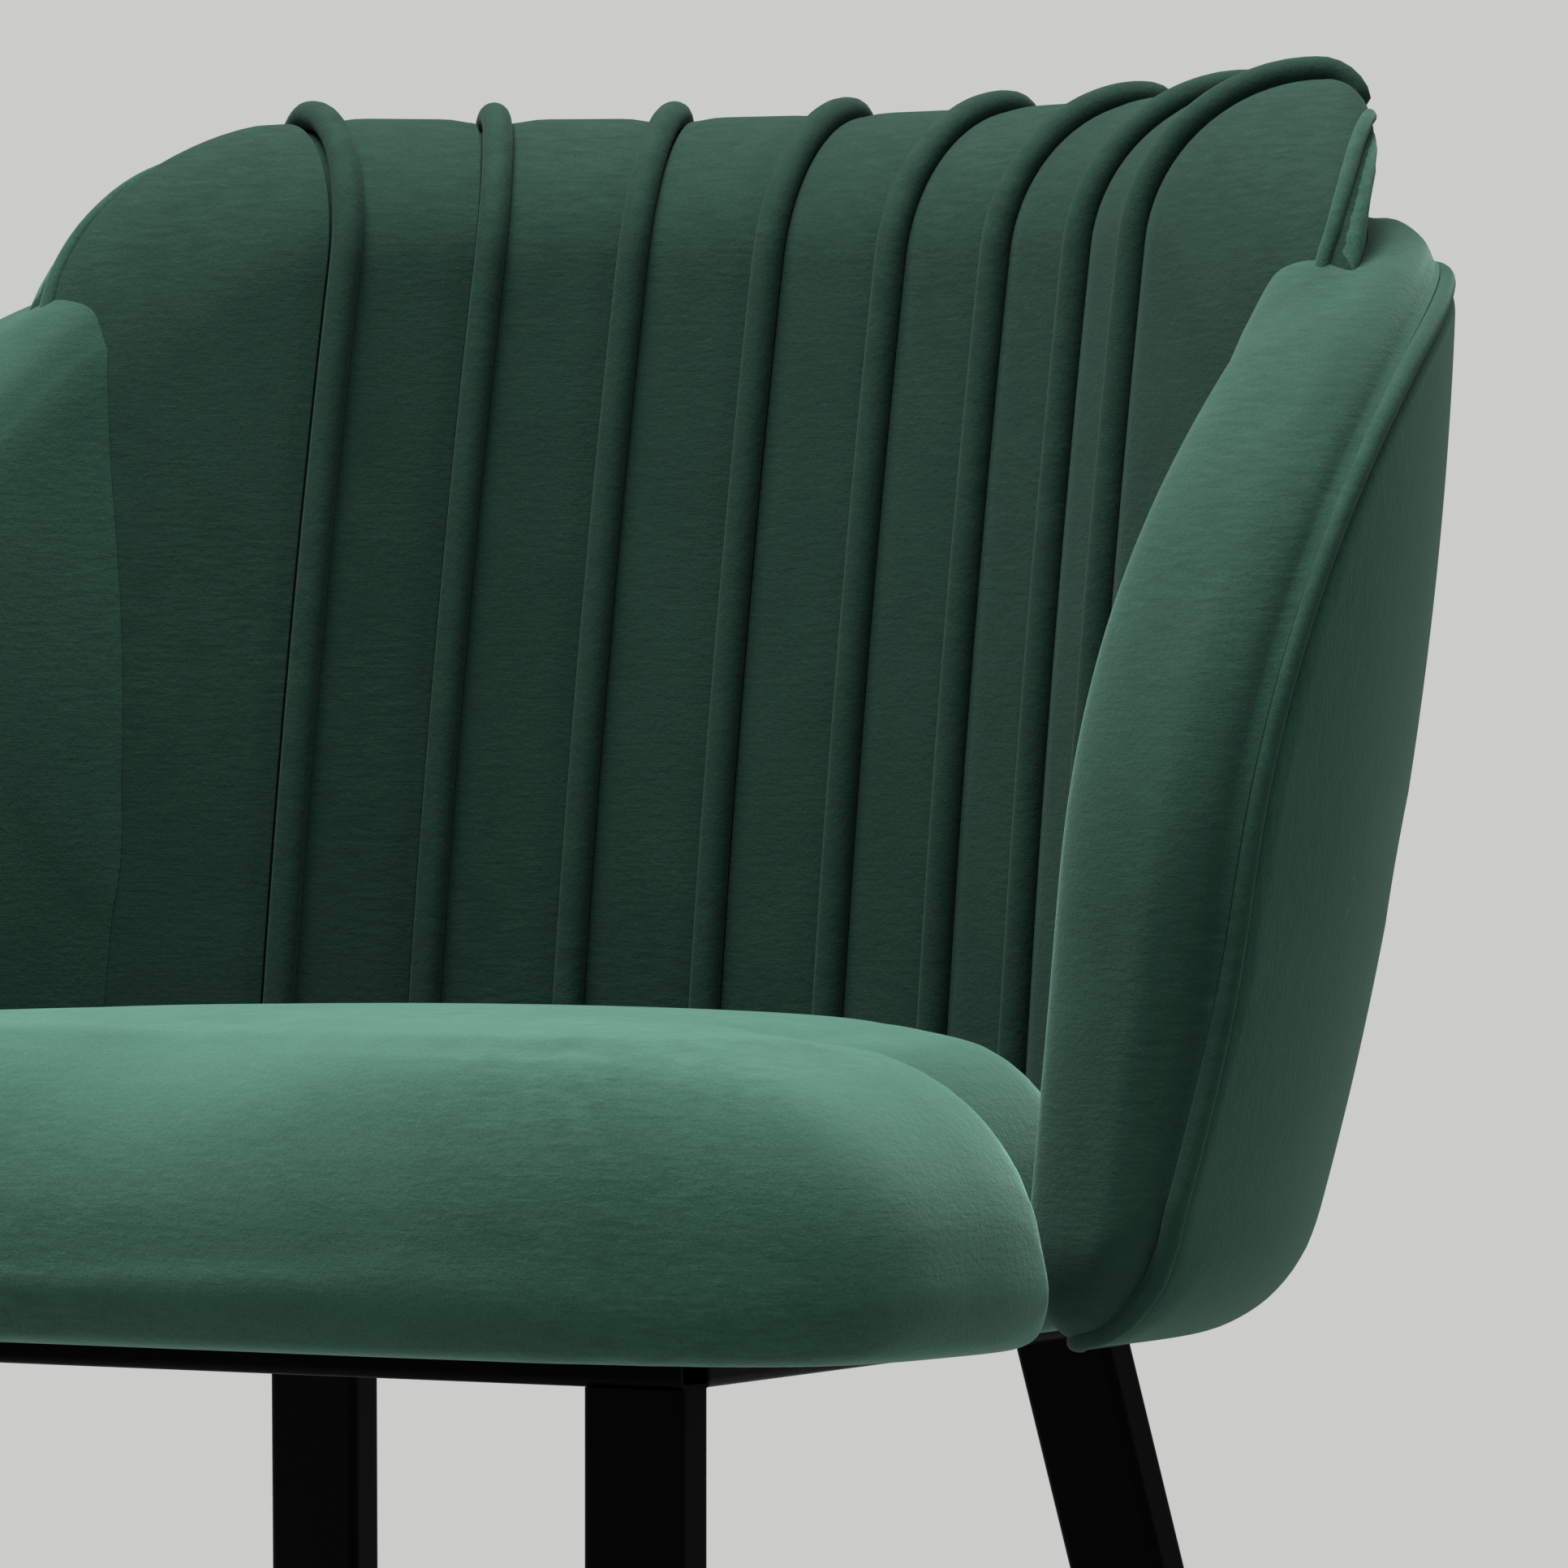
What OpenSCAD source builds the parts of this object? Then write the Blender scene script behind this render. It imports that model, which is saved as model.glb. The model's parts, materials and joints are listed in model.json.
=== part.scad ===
// Upholstered dining chair: a piped inner back inside a wrap-round outer shell,
// a thick crowned seat, and a welded frame of rectangular steel tube.
// Frame: +Z up, the sitter faces -Y, origin on the floor under the middle of the chair.

/* [Seat] */
// Height of the seat crown above the floor
seat_height = 480; // [440:5:520]
// Height of the seat crown above the underside of the rails
seat_rise = 102; // [95:1:115]
// Greatest width of the seat cushion
seat_w = 520; // [500:2:530]
// Distance the seat bulges in front of the frame
seat_front = 36; // [30:1:50]
// Distance from the front of the frame to the widest part of the seat
seat_widest = 75; // [65:1:85]
// Height of the widest line of the cushion above the underside of the rails
seat_belly = 28; // [24:1:32]
// Width of the rounded shoulder of the cushion
seat_shoulder = 85; // [70:1:95]
// Radius of the rolled lower edge of the cushion
seat_lip = 20; // [16:1:20]
// Thickness of the foam around the edge of the seat board
seat_edge_foam = 31; // [28:1:34]
// Thickness of the plywood seat board
seat_board_t = 12; // [9:1:15]
// Thickness of the dust cover under the seat
dust_cover_t = 0.8; // [0.6:0.1:1.2]

/* [Steel frame] */
// Width of the front of the rail frame
frame_front_w = 407; // [390:1:420]
// Width of the rear of the rail frame
frame_rear_w = 329; // [310:1:340]
// Depth of the rail frame
frame_depth = 323; // [310:1:330]
// Height of the rails
rail_h = 25; // [20:1:30]
// Wide side of the leg tube
tube_w = 35; // [30:1:40]
// Narrow side of the leg tube, and thickness of the rails
tube_t = 16; // [14:1:20]
// Wall of the tubes
tube_wall = 1.5; // [1.2:0.1:2]
// Outer corner radius of the tubes
tube_corner = 3; // [2:0.5:4]
// Backward lean of the rear legs in degrees
rear_leg_back = 12.4; // [8:0.1:15]
// Outward lean of the rear legs in degrees
rear_leg_out = 8.5; // [5:0.1:10]
// Thickness of the foot glides under the tubes
glide_t = 4; // [3:0.5:6]
// Length of the glide plugs inside the tubes
glide_plug = 18; // [12:1:25]

/* [Fixings] */
// Length of the seat tabs welded inside the rails
tab_l = 42; // [36:1:50]
// Width of the seat tabs
tab_w = 24; // [20:1:30]
// Thickness of the seat tabs
tab_t = 3; // [2:0.5:4]
// Distance of the rear seat tabs in front of the back's face at the seat line
rear_tab_gap = 140; // [132:1:150]
// Diameter of the seat bolts
bolt_d = 6; // [5:1:6]
// Width of the flat bars that carry the back
bar_w = 30; // [25:1:40]
// Thickness of the flat bars that carry the back
bar_t = 5; // [4:0.5:6]
// Distance of each flat bar from the middle of the chair
bar_x = 75; // [60:1:90]
// Height of the upright blades of the flat bars
bar_rise = 95; // [80:1:110]
// Diameter of the screws in the blades
screw_d = 4; // [3.5:0.5:5]

// Diameter of the screws that hold the inner back
back_screw_d = 5; // [4:0.5:6]
// Length of the screws that hold the inner back
back_screw_l = 50; // [46:1:56]

/* [Inner back] */
// Radius of the face of the inner back in plan
back_r = 225; // [220:1:230]
// Distance from the front of the frame to the back's face at the seat line
back_depth = 365.75; // [360:0.25:372]
// Height of the seat line above the underside of the rails
seat_line = 113; // [105:1:120]
// Lean of the back at the seat line in degrees
recline = 6.6; // [4:0.1:9]
// Radius of the backward bow of the back in side view
bow_r = 2900; // [2400:50:3600]
// Number of channels between the pipings
channels = 7; // [5:2:7]
// Width of each channel in the back
channel_w = 49.4; // [46:0.2:50]
// Depth of the seams that the pipings lie in
seam_dip = 1.5; // [0.5:0.1:2.5]
// Half-angle of the inner back's face in degrees
back_half_angle = 58; // [56:0.5:60]
// Height of the roll's crest above the underside of the rails
crest = 406; // [385:1:425]
// Height of the rolled part of the top edge
roll_h = 41; // [36:1:46]
// Depth of the front part of the roll
roll_front = 50; // [46:1:54]
// Depth of the rear part of the roll
roll_rear = 18; // [14:1:22]
// Height of the rear part of the roll
roll_fall = 16; // [12:1:20]
// Underside of the inner back above the underside of the rails
back_bottom = 27; // [26:1:34]
// Radius of the rounded top corners of the inner back
back_corner = 73; // [60:1:80]
// Radius of the pipings
piping_r = 5.2; // [4:0.1:6]
// Distance of the pipings' axes in front of the cover
piping_proud = 0.8; // [0:0.1:2]
// Radius of the welt round the rear panel
back_welt_r = 2.6; // [2:0.1:3.2]
// Thickness of the inner back's board
back_board_t = 9; // [8:0.5:10]
// Thickness of the padded rear panel
back_panel_t = 10; // [8:0.5:12]

/* [Outer shell] */
// Thickness of the outer shell behind the inner back
shell_cover = 45.65; // [43:0.05:50]
// Radius of the inner face of the outer shell at the seat
shell_inner_r = 228; // [226:0.5:232]
// Distance that the inner face of the wings draws back towards their top
wing_draw = 29; // [20:1:34]
// Distance from the front of the frame to the centre of the shell's curve
shell_y = 172.4; // [168:0.2:178]
// Height at which the shell is widest above the underside of the rails
shell_belly = 270; // [250:1:290]
// Radius of the outward bulge of the shell in front view
shell_bulge_r = 1058; // [900:10:1400]
// Top of the shell above the underside of the rails
shell_top = 361; // [345:1:372]
// Underside of the shell above the underside of the rails
shell_bottom = 6; // [4:1:10]
// Angle of the shell's front edge from the middle of the rear, in degrees
wing_angle = 95; // [92:0.5:97]
// Angle over which the wing's top corner falls away, in degrees
wing_corner = 50; // [44:0.5:54]
// Height of the straight part of the wing's front edge
wing_straight = 131; // [115:1:150]
// Fullness of the wing's rounded corner, 2 being an ellipse
wing_fullness = 2.3; // [2:0.1:3]
// Radius of the wing's lower front corner
wing_toe = 34; // [24:1:40]
// Radius of the welt round the outer panel
welt_r = 3.4; // [2.5:0.1:4]
// Thickness of the padded outer panel
panel_t = 4.1; // [3:0.1:5]
// Thickness of the moulded shell board
shell_board_t = 9.8; // [8:0.2:11]

/* [Hidden] */

STEEL = [0.05, 0.05, 0.055];
ZINC = [0.75, 0.76, 0.78];
PLASTIC = [0.08, 0.08, 0.08];
PLY = [0.72, 0.58, 0.40];
VELVET = [0.16, 0.33, 0.27];
VELVET_CORD = [0.12, 0.27, 0.22];
DUST = [0.1, 0.1, 0.1];

// Clearance between soft solids and their neighbours
soft_gap = 0.5;
// Clearance between layers of one upholstered shell
layer_gap = 0.9;
// Clearance of plugs and fasteners in their holes
fit_gap = 0.3;
// Sides of the screws, nuts and of the holes in boards and pads
SCREW_SIDES = 12;
// Height of the underside of the rails above the floor
rail_z = seat_height - seat_rise;
board_z = rail_h + dust_cover_t;

// Rounding helper values
function clamp(v, lo, hi) = min(hi, max(lo, v));
function smooth(t) = let(c = clamp(t, 0, 1)) c*c*(3 - 2*c);
function mix(a, b, t) = a + (b - a)*t;
function reversed(v) = [for (i = [len(v) - 1:-1:0]) v[i]];

// Backward shift of both shells at height z, measured from the seat line
function lean(z) = let(h = z - seat_line) tan(recline)*h + (h > 0 ? h*h/(2*bow_r) : 0);

// Closed skin over rings of n points, with a folded cap over each end
function ring_faces(m, n) = [for (i = [0:m - 2], j = [0:n - 1], k = [0, 1])
    let(a = i*n + j, b = i*n + (j + 1) % n, c = a + n, d = b + n)
    k == 0 ? [a, b, c] : [b, d, c]];
function fold_cap(base, n, flip) = [for (k = [0:n/2 - 2], h = [0, 1])
    let(a = base + k, b = a + 1, c = base + n - 1 - k, d = c - 1,
        f = h == 0 ? [a, c, b] : [b, c, d])
    flip ? reversed(f) : f];
module skin(rings) {
    m = len(rings);
    n = len(rings[0]);
    polyhedron(points = [for (r = rings, p = r) p],
        faces = concat(ring_faces(m, n), fold_cap(0, n, false), fold_cap((m - 1)*n, n, true)),
        convexity = 8);
}

// Round tube of the given number of sides swept along a list of points
TUBE_SIDES = 6;
function tangent(path, i) = let(a = path[max(i - 1, 0)], b = path[min(i + 1, len(path) - 1)])
    (b - a)/norm(b - a);
module tube(path, r, side) {
    skin([for (i = [0:len(path) - 1])
        let(t = tangent(path, i), u = cross(t, side(i)), e1 = u/norm(u), e2 = cross(t, e1))
        [for (k = [0:TUBE_SIDES - 1]) let(a = -(k + 0.5)*360/TUBE_SIDES)
            path[i] + r*(cos(a)*e1 + sin(a)*e2)]]);
}

// Seat outline: polar about the widest line, angle measured from +Y
seat_half = seat_w/2;
seat_front_semi = seat_widest + seat_front;
// Radii that keep the seat clear of the pipings and of the shell
seat_back_r = back_r - piping_r - piping_proud - soft_gap;
seat_wing_r = shell_inner_r - soft_gap;
seat_back_off = back_depth - back_r + lean(seat_belly) - seat_widest;
seat_wing_off = shell_y + lean(seat_belly) - seat_widest;
// Angles between which the seat's edge passes from the back to the wings, and from the wings to the open side
SEAT_TURN = [49.5, 60];
SEAT_SIDE = [73.5, 83];
// Squareness of the front corners, and reach of the gentle curve of the sides
SEAT_SQUARE = 4.4;
SEAT_SIDE_SEMI = 197;
function circle_reach(a, off, r) = off*cos(a) + sqrt(r*r - pow(off*sin(a), 2));
function oval_reach(a, wide, deep, n) = 1/pow(pow(abs(sin(a))/wide, n) + pow(abs(cos(a))/deep, n), 1/n);
function seat_reach(a) = let(b = abs(a),
        wing = mix(circle_reach(b, seat_back_off, seat_back_r), circle_reach(b, seat_wing_off, seat_wing_r),
            smooth((b - SEAT_TURN[0])/(SEAT_TURN[1] - SEAT_TURN[0]))))
    b < 90 ? mix(wing, oval_reach(b, seat_half, SEAT_SIDE_SEMI, 2),
            smooth((b - SEAT_SIDE[0])/(SEAT_SIDE[1] - SEAT_SIDE[0])))
        : oval_reach(b, seat_half, seat_front_semi, SEAT_SQUARE);
// Stations round the seat, closest together at the corners
seat_right = concat([for (a = [176:-11:132]) a], [for (a = [124:-5.5:102]) a], [for (a = [95:-9:68]) a],
    [for (a = [60:-5:50]) a], [for (a = [45:-10:5]) a]);
seat_angles = concat([for (a = seat_right) -a], reversed(seat_right));
function seat_point(a, inset) = let(r = seat_reach(a) - inset)
    [r*sin(a), seat_widest + r*cos(a)];
function seat_outline(inset) = [for (a = seat_angles) seat_point(a, inset)];
// Part of the shoulder's width that is used where the seat meets the back
SEAT_REAR_SHARE = 0.4;
function shoulder_share(a) = mix(SEAT_REAR_SHARE, 1, smooth((abs(a) - 50)/50));
seat_top = seat_rise - seat_belly;
// Fractions of the shoulder at which the cushion has a ring
SHOULDER = [0.03, 0.12, 0.3, 0.52, 0.78, 1];
// Height of the crown above the shoulder's end
seat_crown = 5;
seat_side_h = seat_top - seat_crown;
function shoulder_z(f) = seat_belly + seat_side_h*sqrt(1 - pow(1 - f, 2));
seat_lower_z = seat_belly - seat_lip;

module seat_form() {
    lip = [for (b = [0:30:60]) [seat_lip*(1 - sin(b))*0.55, seat_belly - seat_lip*cos(b)]];
    rings = concat([[seat_lip*1.3, seat_lower_z]], lip, [[0, seat_belly]],
        [for (f = SHOULDER) [f*seat_shoulder, shoulder_z(f)]]);
    skin(concat([for (q = rings) [for (a = seat_angles)
        let(p = seat_point(a, q[0]*(q[1] > seat_belly ? shoulder_share(a) : 1))) [p[0], p[1], q[1]]]],
        [for (q = CROWN) [for (a = seat_angles)
            let(p = seat_point(a, seat_shoulder*shoulder_share(a)))
            [p[0]*q[0], mix(crown_y, p[1], q[0]), mix(seat_rise - seat_crown, seat_rise, q[1])]]]));
}
// Rings of the crown, as share of the shoulder's outline and of the crown's height, about its highest point
CROWN = [[0.62, 0.62], [0.2, 1]];
crown_y = back_depth/2 - seat_front;

// Inner back: a point by angle in plan, depth through the pad and height
end_angle = back_half_angle;
piping_step = channel_w/back_r*180/PI;
last_piping = channels/2*piping_step;
back_t = roll_front + roll_rear;
// Ratio by which the roll turns outwards faster than the face, and its turn at the ends
ROLL_TURN = 1.2557;
END_TURN = 90;
// Widening of the pad towards its ends
END_WIDEN = 0.07;
// Part of the crest beyond the last piping that stays level, before the corner falls away to the end
END_LEVEL = 9;
end_crest = back_corner + END_LEVEL;
function end_part(a) = clamp((abs(a) - last_piping)/(end_angle - last_piping), 0, 1);
function roll_turn(a) = sign(a)*(abs(a) <= last_piping ? ROLL_TURN*abs(a)
    : mix(ROLL_TURN*last_piping, END_TURN, end_part(a)));
function corner_drop(a) = let(s = clamp(end_crest*end_part(a) - END_LEVEL, 0, back_corner))
    back_corner - sqrt(back_corner*back_corner - s*s);
function dropped(a, z) = z - corner_drop(a)*clamp((z - 150)/(crest - roll_h - 150), 0, 1);
// The pad thins towards its foot, where the shell draws in
TUCK = 0.34;
TUCK_H = 150;
// Width of the pad's edge at its ends, where the face has turned round to the rear panel
END_EDGE = 7;
function end_keep(a) = let(s = clamp(end_crest*end_part(a) - END_LEVEL, 0, back_corner)/back_corner)
    mix(END_EDGE/pad_rho, 1, sqrt(1 - s*s));
function rounded_end(a, rho) = let(k = end_keep(a))
    rho < 0 ? rho + mix(pad_rho, 0, k) : (rho < pad_rho ? mix(pad_rho, rho, k) : rho);
// Depth from the face over which the pad neither thins nor widens
FACE_DEPTH = 12;
function tuck(z) = z > TUCK_H ? 1 : 1 - TUCK*(TUCK_H - z)/(TUCK_H - back_bottom);
function back_point(a, depth, z) = let(f = roll_turn(a), h = dropped(a, z), rho = rounded_end(a, depth),
        r = min(rho, FACE_DEPTH) + max(0, rho - FACE_DEPTH)*(1 + END_WIDEN*end_part(a))*tuck(z))
    [back_r*sin(a) + r*sin(f),
        back_depth - back_r + back_r*cos(a) + r*cos(f) + lean(h), h];

// Turns of the crest's corner at which the inner back has a section, and their share of the end
CORNER_TURNS = [14, 30, 45, 60, 75, 90];
corner_parts = [for (u = CORNER_TURNS) (END_LEVEL + back_corner*sin(u))/end_crest];
function corner_angles(side, last) = [for (f = corner_parts) if (f < last) side*mix(last_piping, end_angle, f)];

// Layers at the rear of the inner back
welt_channel = 2*back_welt_r + 2*fit_gap;
roll_start = crest - roll_h;
roll_end = crest - roll_fall;
recess_top = roll_end - 2;
pad_rho = back_t - back_panel_t - layer_gap;
board_rho = pad_rho - layer_gap - back_board_t;
recess_rho = board_rho - layer_gap;

// Outline of the inner back in section, as depth and height: pushed in by dip, with or without the rear recess
BACK_ROWS = [90, 180, 270];
RECESS_ROWS = [340, 250, 140, 50];
function roll_front_at(b, g) = [roll_front - (roll_front + g)*cos(b), roll_start + (roll_h + g)*sin(b)];
function roll_rear_at(b, g) = [roll_front + (roll_rear + g)*sin(b), roll_end + (roll_fall + g)*cos(b)];
function back_section(dip, recess) = let(in = recess ? recess_rho : pad_rho, lip = recess ? layer_gap : 12,
        rim = recess ? layer_gap : 24) concat(
    [for (z = concat([back_bottom], BACK_ROWS, [roll_start])) [dip, z]],
    [for (b = [22, 45, 68, 90]) roll_front_at(b, -dip)],
    [for (b = [45, 90]) roll_rear_at(b, -dip)],
    [[back_t, recess_top], [pad_rho, recess_top], [pad_rho, RECESS_ROWS[0] + rim],
        [in, RECESS_ROWS[0] + layer_gap - (rim - layer_gap)/2], [in, RECESS_ROWS[1]], [in, RECESS_ROWS[2]],
        [in, RECESS_ROWS[3] - layer_gap + (rim - layer_gap)/2], [pad_rho, RECESS_ROWS[3] - lip],
        [pad_rho, back_bottom]]);

// Stations along the inner back as angle, push-in and whether the rear is recessed
groove_half = 1.25*piping_r/back_r*180/PI;
GROOVE_DEPTH = 1.75*piping_r;
function piping_angle(k) = -last_piping + (k - 1)*piping_step;
recess_half = last_piping + 1.3*groove_half;
end_side = concat([[recess_half, 0, true], [recess_half + 0.05, 0, false]],
    [for (a = corner_angles(1, 2)) [a, 0, false]]);
function flipped(v) = [for (s = reversed(v)) [-s[0], s[1], s[2]]];
channel_stations = [for (k = [1:channels + 1], i = [-1:2]) if (k <= channels || i < 2)
    [piping_angle(k) + (i < 2 ? i*groove_half : piping_step/2),
        i == 0 ? GROOVE_DEPTH : (i == 2 ? 0 : seam_dip), true]];
back_stations = concat(flipped(end_side), channel_stations, end_side);

module back_form() skin([for (t = back_stations)
    [for (s = back_section(t[1], t[2])) back_point(t[0], s[0], s[1])]]);

// Plain envelope of the inner back grown by g, to keep the shell clear of it
half_channels = [for (i = [0:2*channels]) -last_piping + i*piping_step/2];
plain_angles = concat(reversed(corner_angles(-1, 2)), half_channels, corner_angles(1, 2));
function plain_section(g) = [[-g, back_bottom - g], [-g, BACK_ROWS[1]], [-g, BACK_ROWS[2]], [-g, roll_start], roll_front_at(45, g), roll_front_at(90, g),
    roll_rear_at(45, g), roll_rear_at(90, g), [back_t + g, RECESS_ROWS[0]], [back_t + g, RECESS_ROWS[1]],
    [back_t + g, RECESS_ROWS[2]], [back_t + g, back_bottom - g]];
function plate_rows(z0, z1) = concat([z0],
    [for (z = reversed(RECESS_ROWS)) if (z > z0 + 1 && z < z1 - 1) z], [z1]);
module back_envelope(g) {
    ahead = [0, -END_WELT[1] - back_welt_r - g, 0];
    sec = plain_section(g);
    skin(concat([[for (s = sec) back_point(-end_angle, s[0], s[1]) + ahead]],
        [for (a = plain_angles) [for (s = sec) back_point(a, s[0], s[1]) - [0, g*(1 - end_keep(a)), 0]]],
        [[for (s = sec) back_point(end_angle, s[0], s[1]) + ahead]]));
}

// Curved plate at the rear of the inner back
module back_plate(half, rho0, rho1, z0, z1) {
    angles = concat([-half], [for (a = plain_angles) if (abs(a) < half - 0.5) a], [half]);
    rows = plate_rows(z0, z1);
    skin([for (a = angles) concat([for (z = rows) back_point(a, rho0, z)],
        [for (z = reversed(rows)) back_point(a, rho1, z)])]);
}
module back_board() color(PLY) place() difference() {
    back_plate(last_piping, board_rho, board_rho + back_board_t, RECESS_ROWS[3], RECESS_ROWS[0]);
    back_screw_holes(back_screw_d/2 + 0.05);
}
module back_rear_panel() color(VELVET) place() difference() {
    back_plate(end_angle, back_t - back_panel_t, back_t, back_bottom, recess_top - welt_channel);
    for (v = [back_welt_path, reversed(back_welt_path)]) welt_groove(v);
    back_screw_holes(back_screw_d/2 + fit_gap);
}

// Path of the welt that runs up one end, across the top and down the other end
welt_top = recess_top - welt_channel/2;
welt_angles = concat(reversed(corner_angles(-1, 1)), half_channels, corner_angles(1, 1));
// Place of the welt at the ends: in line with the seam, and in front of the panel's end
END_WELT = [back_t - 0.7*back_panel_t, back_welt_r + 1.1*layer_gap];
function end_welt(side, z, share) = back_point(side*end_angle, mix(back_t, END_WELT[0], share), z)
    - [0, END_WELT[1]*share, 0];
END_ROWS = [back_bottom + 6, 120, 220, 330];
// Depth of the welt's middle inside the rear face, along the top and at the ends
BACK_WELT_SUNK = [2, 5.5];
back_welt_path = concat([for (z = END_ROWS) end_welt(-1, z, 1)], [end_welt(-1, welt_top - 5, 0.9)],
    [for (a = welt_angles) back_point(a, back_t - mix(BACK_WELT_SUNK[0], BACK_WELT_SUNK[1], end_part(a)), welt_top)],
    [end_welt(1, welt_top - 5, 0.9)], [for (z = reversed(END_ROWS)) end_welt(1, z, 1)]);
// Groove for the welt round each upper corner, where it passes from the top edge to the end
CORNER_POINTS = [3:10];
module welt_groove(path) {
    part = [for (i = CORNER_POINTS) path[i]];
    tube(part, back_welt_r + fit_gap, function(i) outward(part[i], back_depth - back_r));
}
module back_rear_welt() color(VELVET_CORD) place()
    tube(back_welt_path, back_welt_r, function(i) outward(back_welt_path[i], back_depth - back_r));
function outward(p, cy) = let(v = [p[0], p[1] - cy - lean(p[2]), 0]) v/norm(v);

// Pipings, numbered from the sitter's right
PIPING_FRONT = [150, 260, 345];
function piping_path(k) = let(a = piping_angle(k), p = piping_proud) concat(
    [for (z = concat([back_bottom + 2], PIPING_FRONT)) back_point(a, -p, z)],
    [for (b = [10, 32, 52, 71, 90]) let(q = roll_front_at(b, p)) back_point(a, q[0], q[1])],
    [for (b = [38, 74]) let(q = roll_rear_at(b, p)) back_point(a, q[0], q[1])]);
module piping(k) color(VELVET_CORD) place() {
    f = roll_turn(piping_angle(k));
    tube(piping_path(k), piping_r, function(i) [cos(f), -sin(f), 0]);
}
module back_pad() color(VELVET) place() difference() {
    back_form();
    for (v = [back_welt_path, reversed(back_welt_path)]) welt_groove(v);
}

// Outer shell: stations round its edge as angle, height and share of the lower profile
shell_r = back_depth + back_t + shell_cover - shell_y;
shell_arc = shell_r*PI/180;
spine_z = 150;
spine_half = 75;
wing_top_angle = wing_angle - wing_corner;
toe_angle = wing_toe/shell_arc;
WING_TURNS = [76, 62, 50, 38, 26, 13, 0];
upper_right = concat(
    [for (i = [0:5]) [wing_top_angle*i/5, shell_top, 0]],
    [for (u = WING_TURNS) [wing_top_angle + wing_corner*pow(cos(u), 2/wing_fullness),
        wing_straight + (shell_top - wing_straight)*pow(sin(u), 2/wing_fullness), 0]]);
TOE_TURNS = [14, 48, 90];
lower_right = concat([for (i = [0:8]) [upper_right[i][0], shell_bottom, 1]],
    [for (u = TOE_TURNS) [wing_angle - toe_angle*(1 - sin(u)), shell_bottom + wing_toe*(1 - cos(u)), 1 - u/90]],
    [[wing_angle, mix(shell_bottom + wing_toe, wing_straight, 0.5), 0]]);
function mirrored(v) = [for (i = [1:len(v) - 1]) [-v[i][0], v[i][1], v[i][2]]];
shell_edge = concat(reversed(mirrored(upper_right)), upper_right,
    reversed(lower_right), mirrored(lower_right));

// Radius of the shell's outer face at height z
function shell_face(z) = shell_r - pow(shell_belly - z, 2)/(2*shell_bulge_r);
function shell_inner(z) = shell_inner_r + wing_draw*pow(max(0, z - spine_z)/(shell_top - spine_z), 2);
function shell_point(a, z, d, f) = let(r0 = shell_face(z), r = r0 - d - f*(r0 - shell_inner(z)))
    [r*sin(a), shell_y + lean(z) + r*cos(a), z];
// Rings are set by distance from the edge in mm, or by -1 for the last one
SPINE_SHARE = 0.88;
LAST = -1;
RIM = 70;
function shell_at(e, w, d, f) = let(s = [clamp(e[0], -spine_half, spine_half), spine_z],
        dist = norm([(s[0] - e[0])*shell_arc, s[1] - e[1]]),
        t = w < 0 ? mix(RIM/dist, SPINE_SHARE, -w) : w/dist)
    shell_point(mix(e[0], s[0], t), mix(e[1], s[1], t), d, f);
function shell_ring(top, low) = [for (e = shell_edge) let(q = mix(top, low, e[2]))
    shell_at(e, q[0], q[1], q[2])];

// Layers of the outer shell
recess_w = 13;
lower_w = 24;
shell_channel = 2*welt_r + 2*fit_gap;
shell_board_d = panel_t + layer_gap;
shell_floor = shell_board_d + shell_board_t + layer_gap;

// Rings from the floor of the outer recess over the rolled edge to the inner face:
// distance from the edge, depth in mm and share of the thickness
PAD_TOP = [[LAST, shell_floor, 0], [RIM, shell_floor, 0], [recess_w, shell_floor, 0],
    [recess_w, 0, 0.06], [6, 0, 0.17], [0, 0, 0.36], [2, 0, 0.57], [7, 0, 0.76], [16, 0, 0.92], [32, 0, 1],
    [RIM, 0, 1], [LAST, 0, 1]];
PAD_LOW = [[LAST, shell_floor, 0], [RIM, shell_floor, 0], [lower_w, shell_floor, 0],
    [lower_w, 0, 0.08], [9, 0, 0.27], [0.5, 0, 0.55], [0, 0, 0.72], [3, 0, 0.86], [10, 0, 0.96], [30, 0, 1],
    [RIM, 0, 1], [LAST, 0, 1]];
module shell_form() skin([for (i = [0:len(PAD_TOP) - 1]) shell_ring(PAD_TOP[i], PAD_LOW[i])]);

// Curved plate in the shell between two depths, at distance w from the top edge and wl from the lower edge
module shell_plate(w, wl, d0, d1) skin([
    shell_ring([LAST, d0, 0], [LAST, d0, 0]), shell_ring([RIM, d0, 0], [RIM, d0, 0]),
    shell_ring([w, d0, 0], [wl, d0, 0]), shell_ring([w, d1, 0], [wl, d1, 0]),
    shell_ring([RIM, d1, 0], [RIM, d1, 0]), shell_ring([LAST, d1, 0], [LAST, d1, 0])]);
module shell_board() color(PLY) place() difference() {
    shell_plate(recess_w + 9, lower_w + 6, shell_board_d, shell_board_d + shell_board_t);
    bar_screw_holes(screw_d/2 + 0.05);
    back_screw_holes(back_screw_d/2 + fit_gap);
    at_back_screws() translate([0, 0, -20]) cylinder(r = back_screw_d + fit_gap, h = 20 + HEAD_H, $fn = SCREW_SIDES);
}
module shell_panel() color(VELVET) place()
    shell_plate(recess_w + shell_channel + 2*layer_gap, lower_w + layer_gap, 0, panel_t);
module shell_pad() color(VELVET) place() difference() {
    shell_form();
    back_envelope(ENVELOPE_GAP);
    translate([-rear_x - 2, frame_depth - 40, -1]) cube([2*rear_x + 4, 42, rail_h + 2]);
    for (s = [-1, 1]) bar_pocket(s);
    tube(foot_path, welt_r + soft_gap, function(i) outward(foot_path[i], shell_y));
    back_screw_holes(back_screw_d/2 + fit_gap);
}
ENVELOPE_GAP = 0.9;
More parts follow.
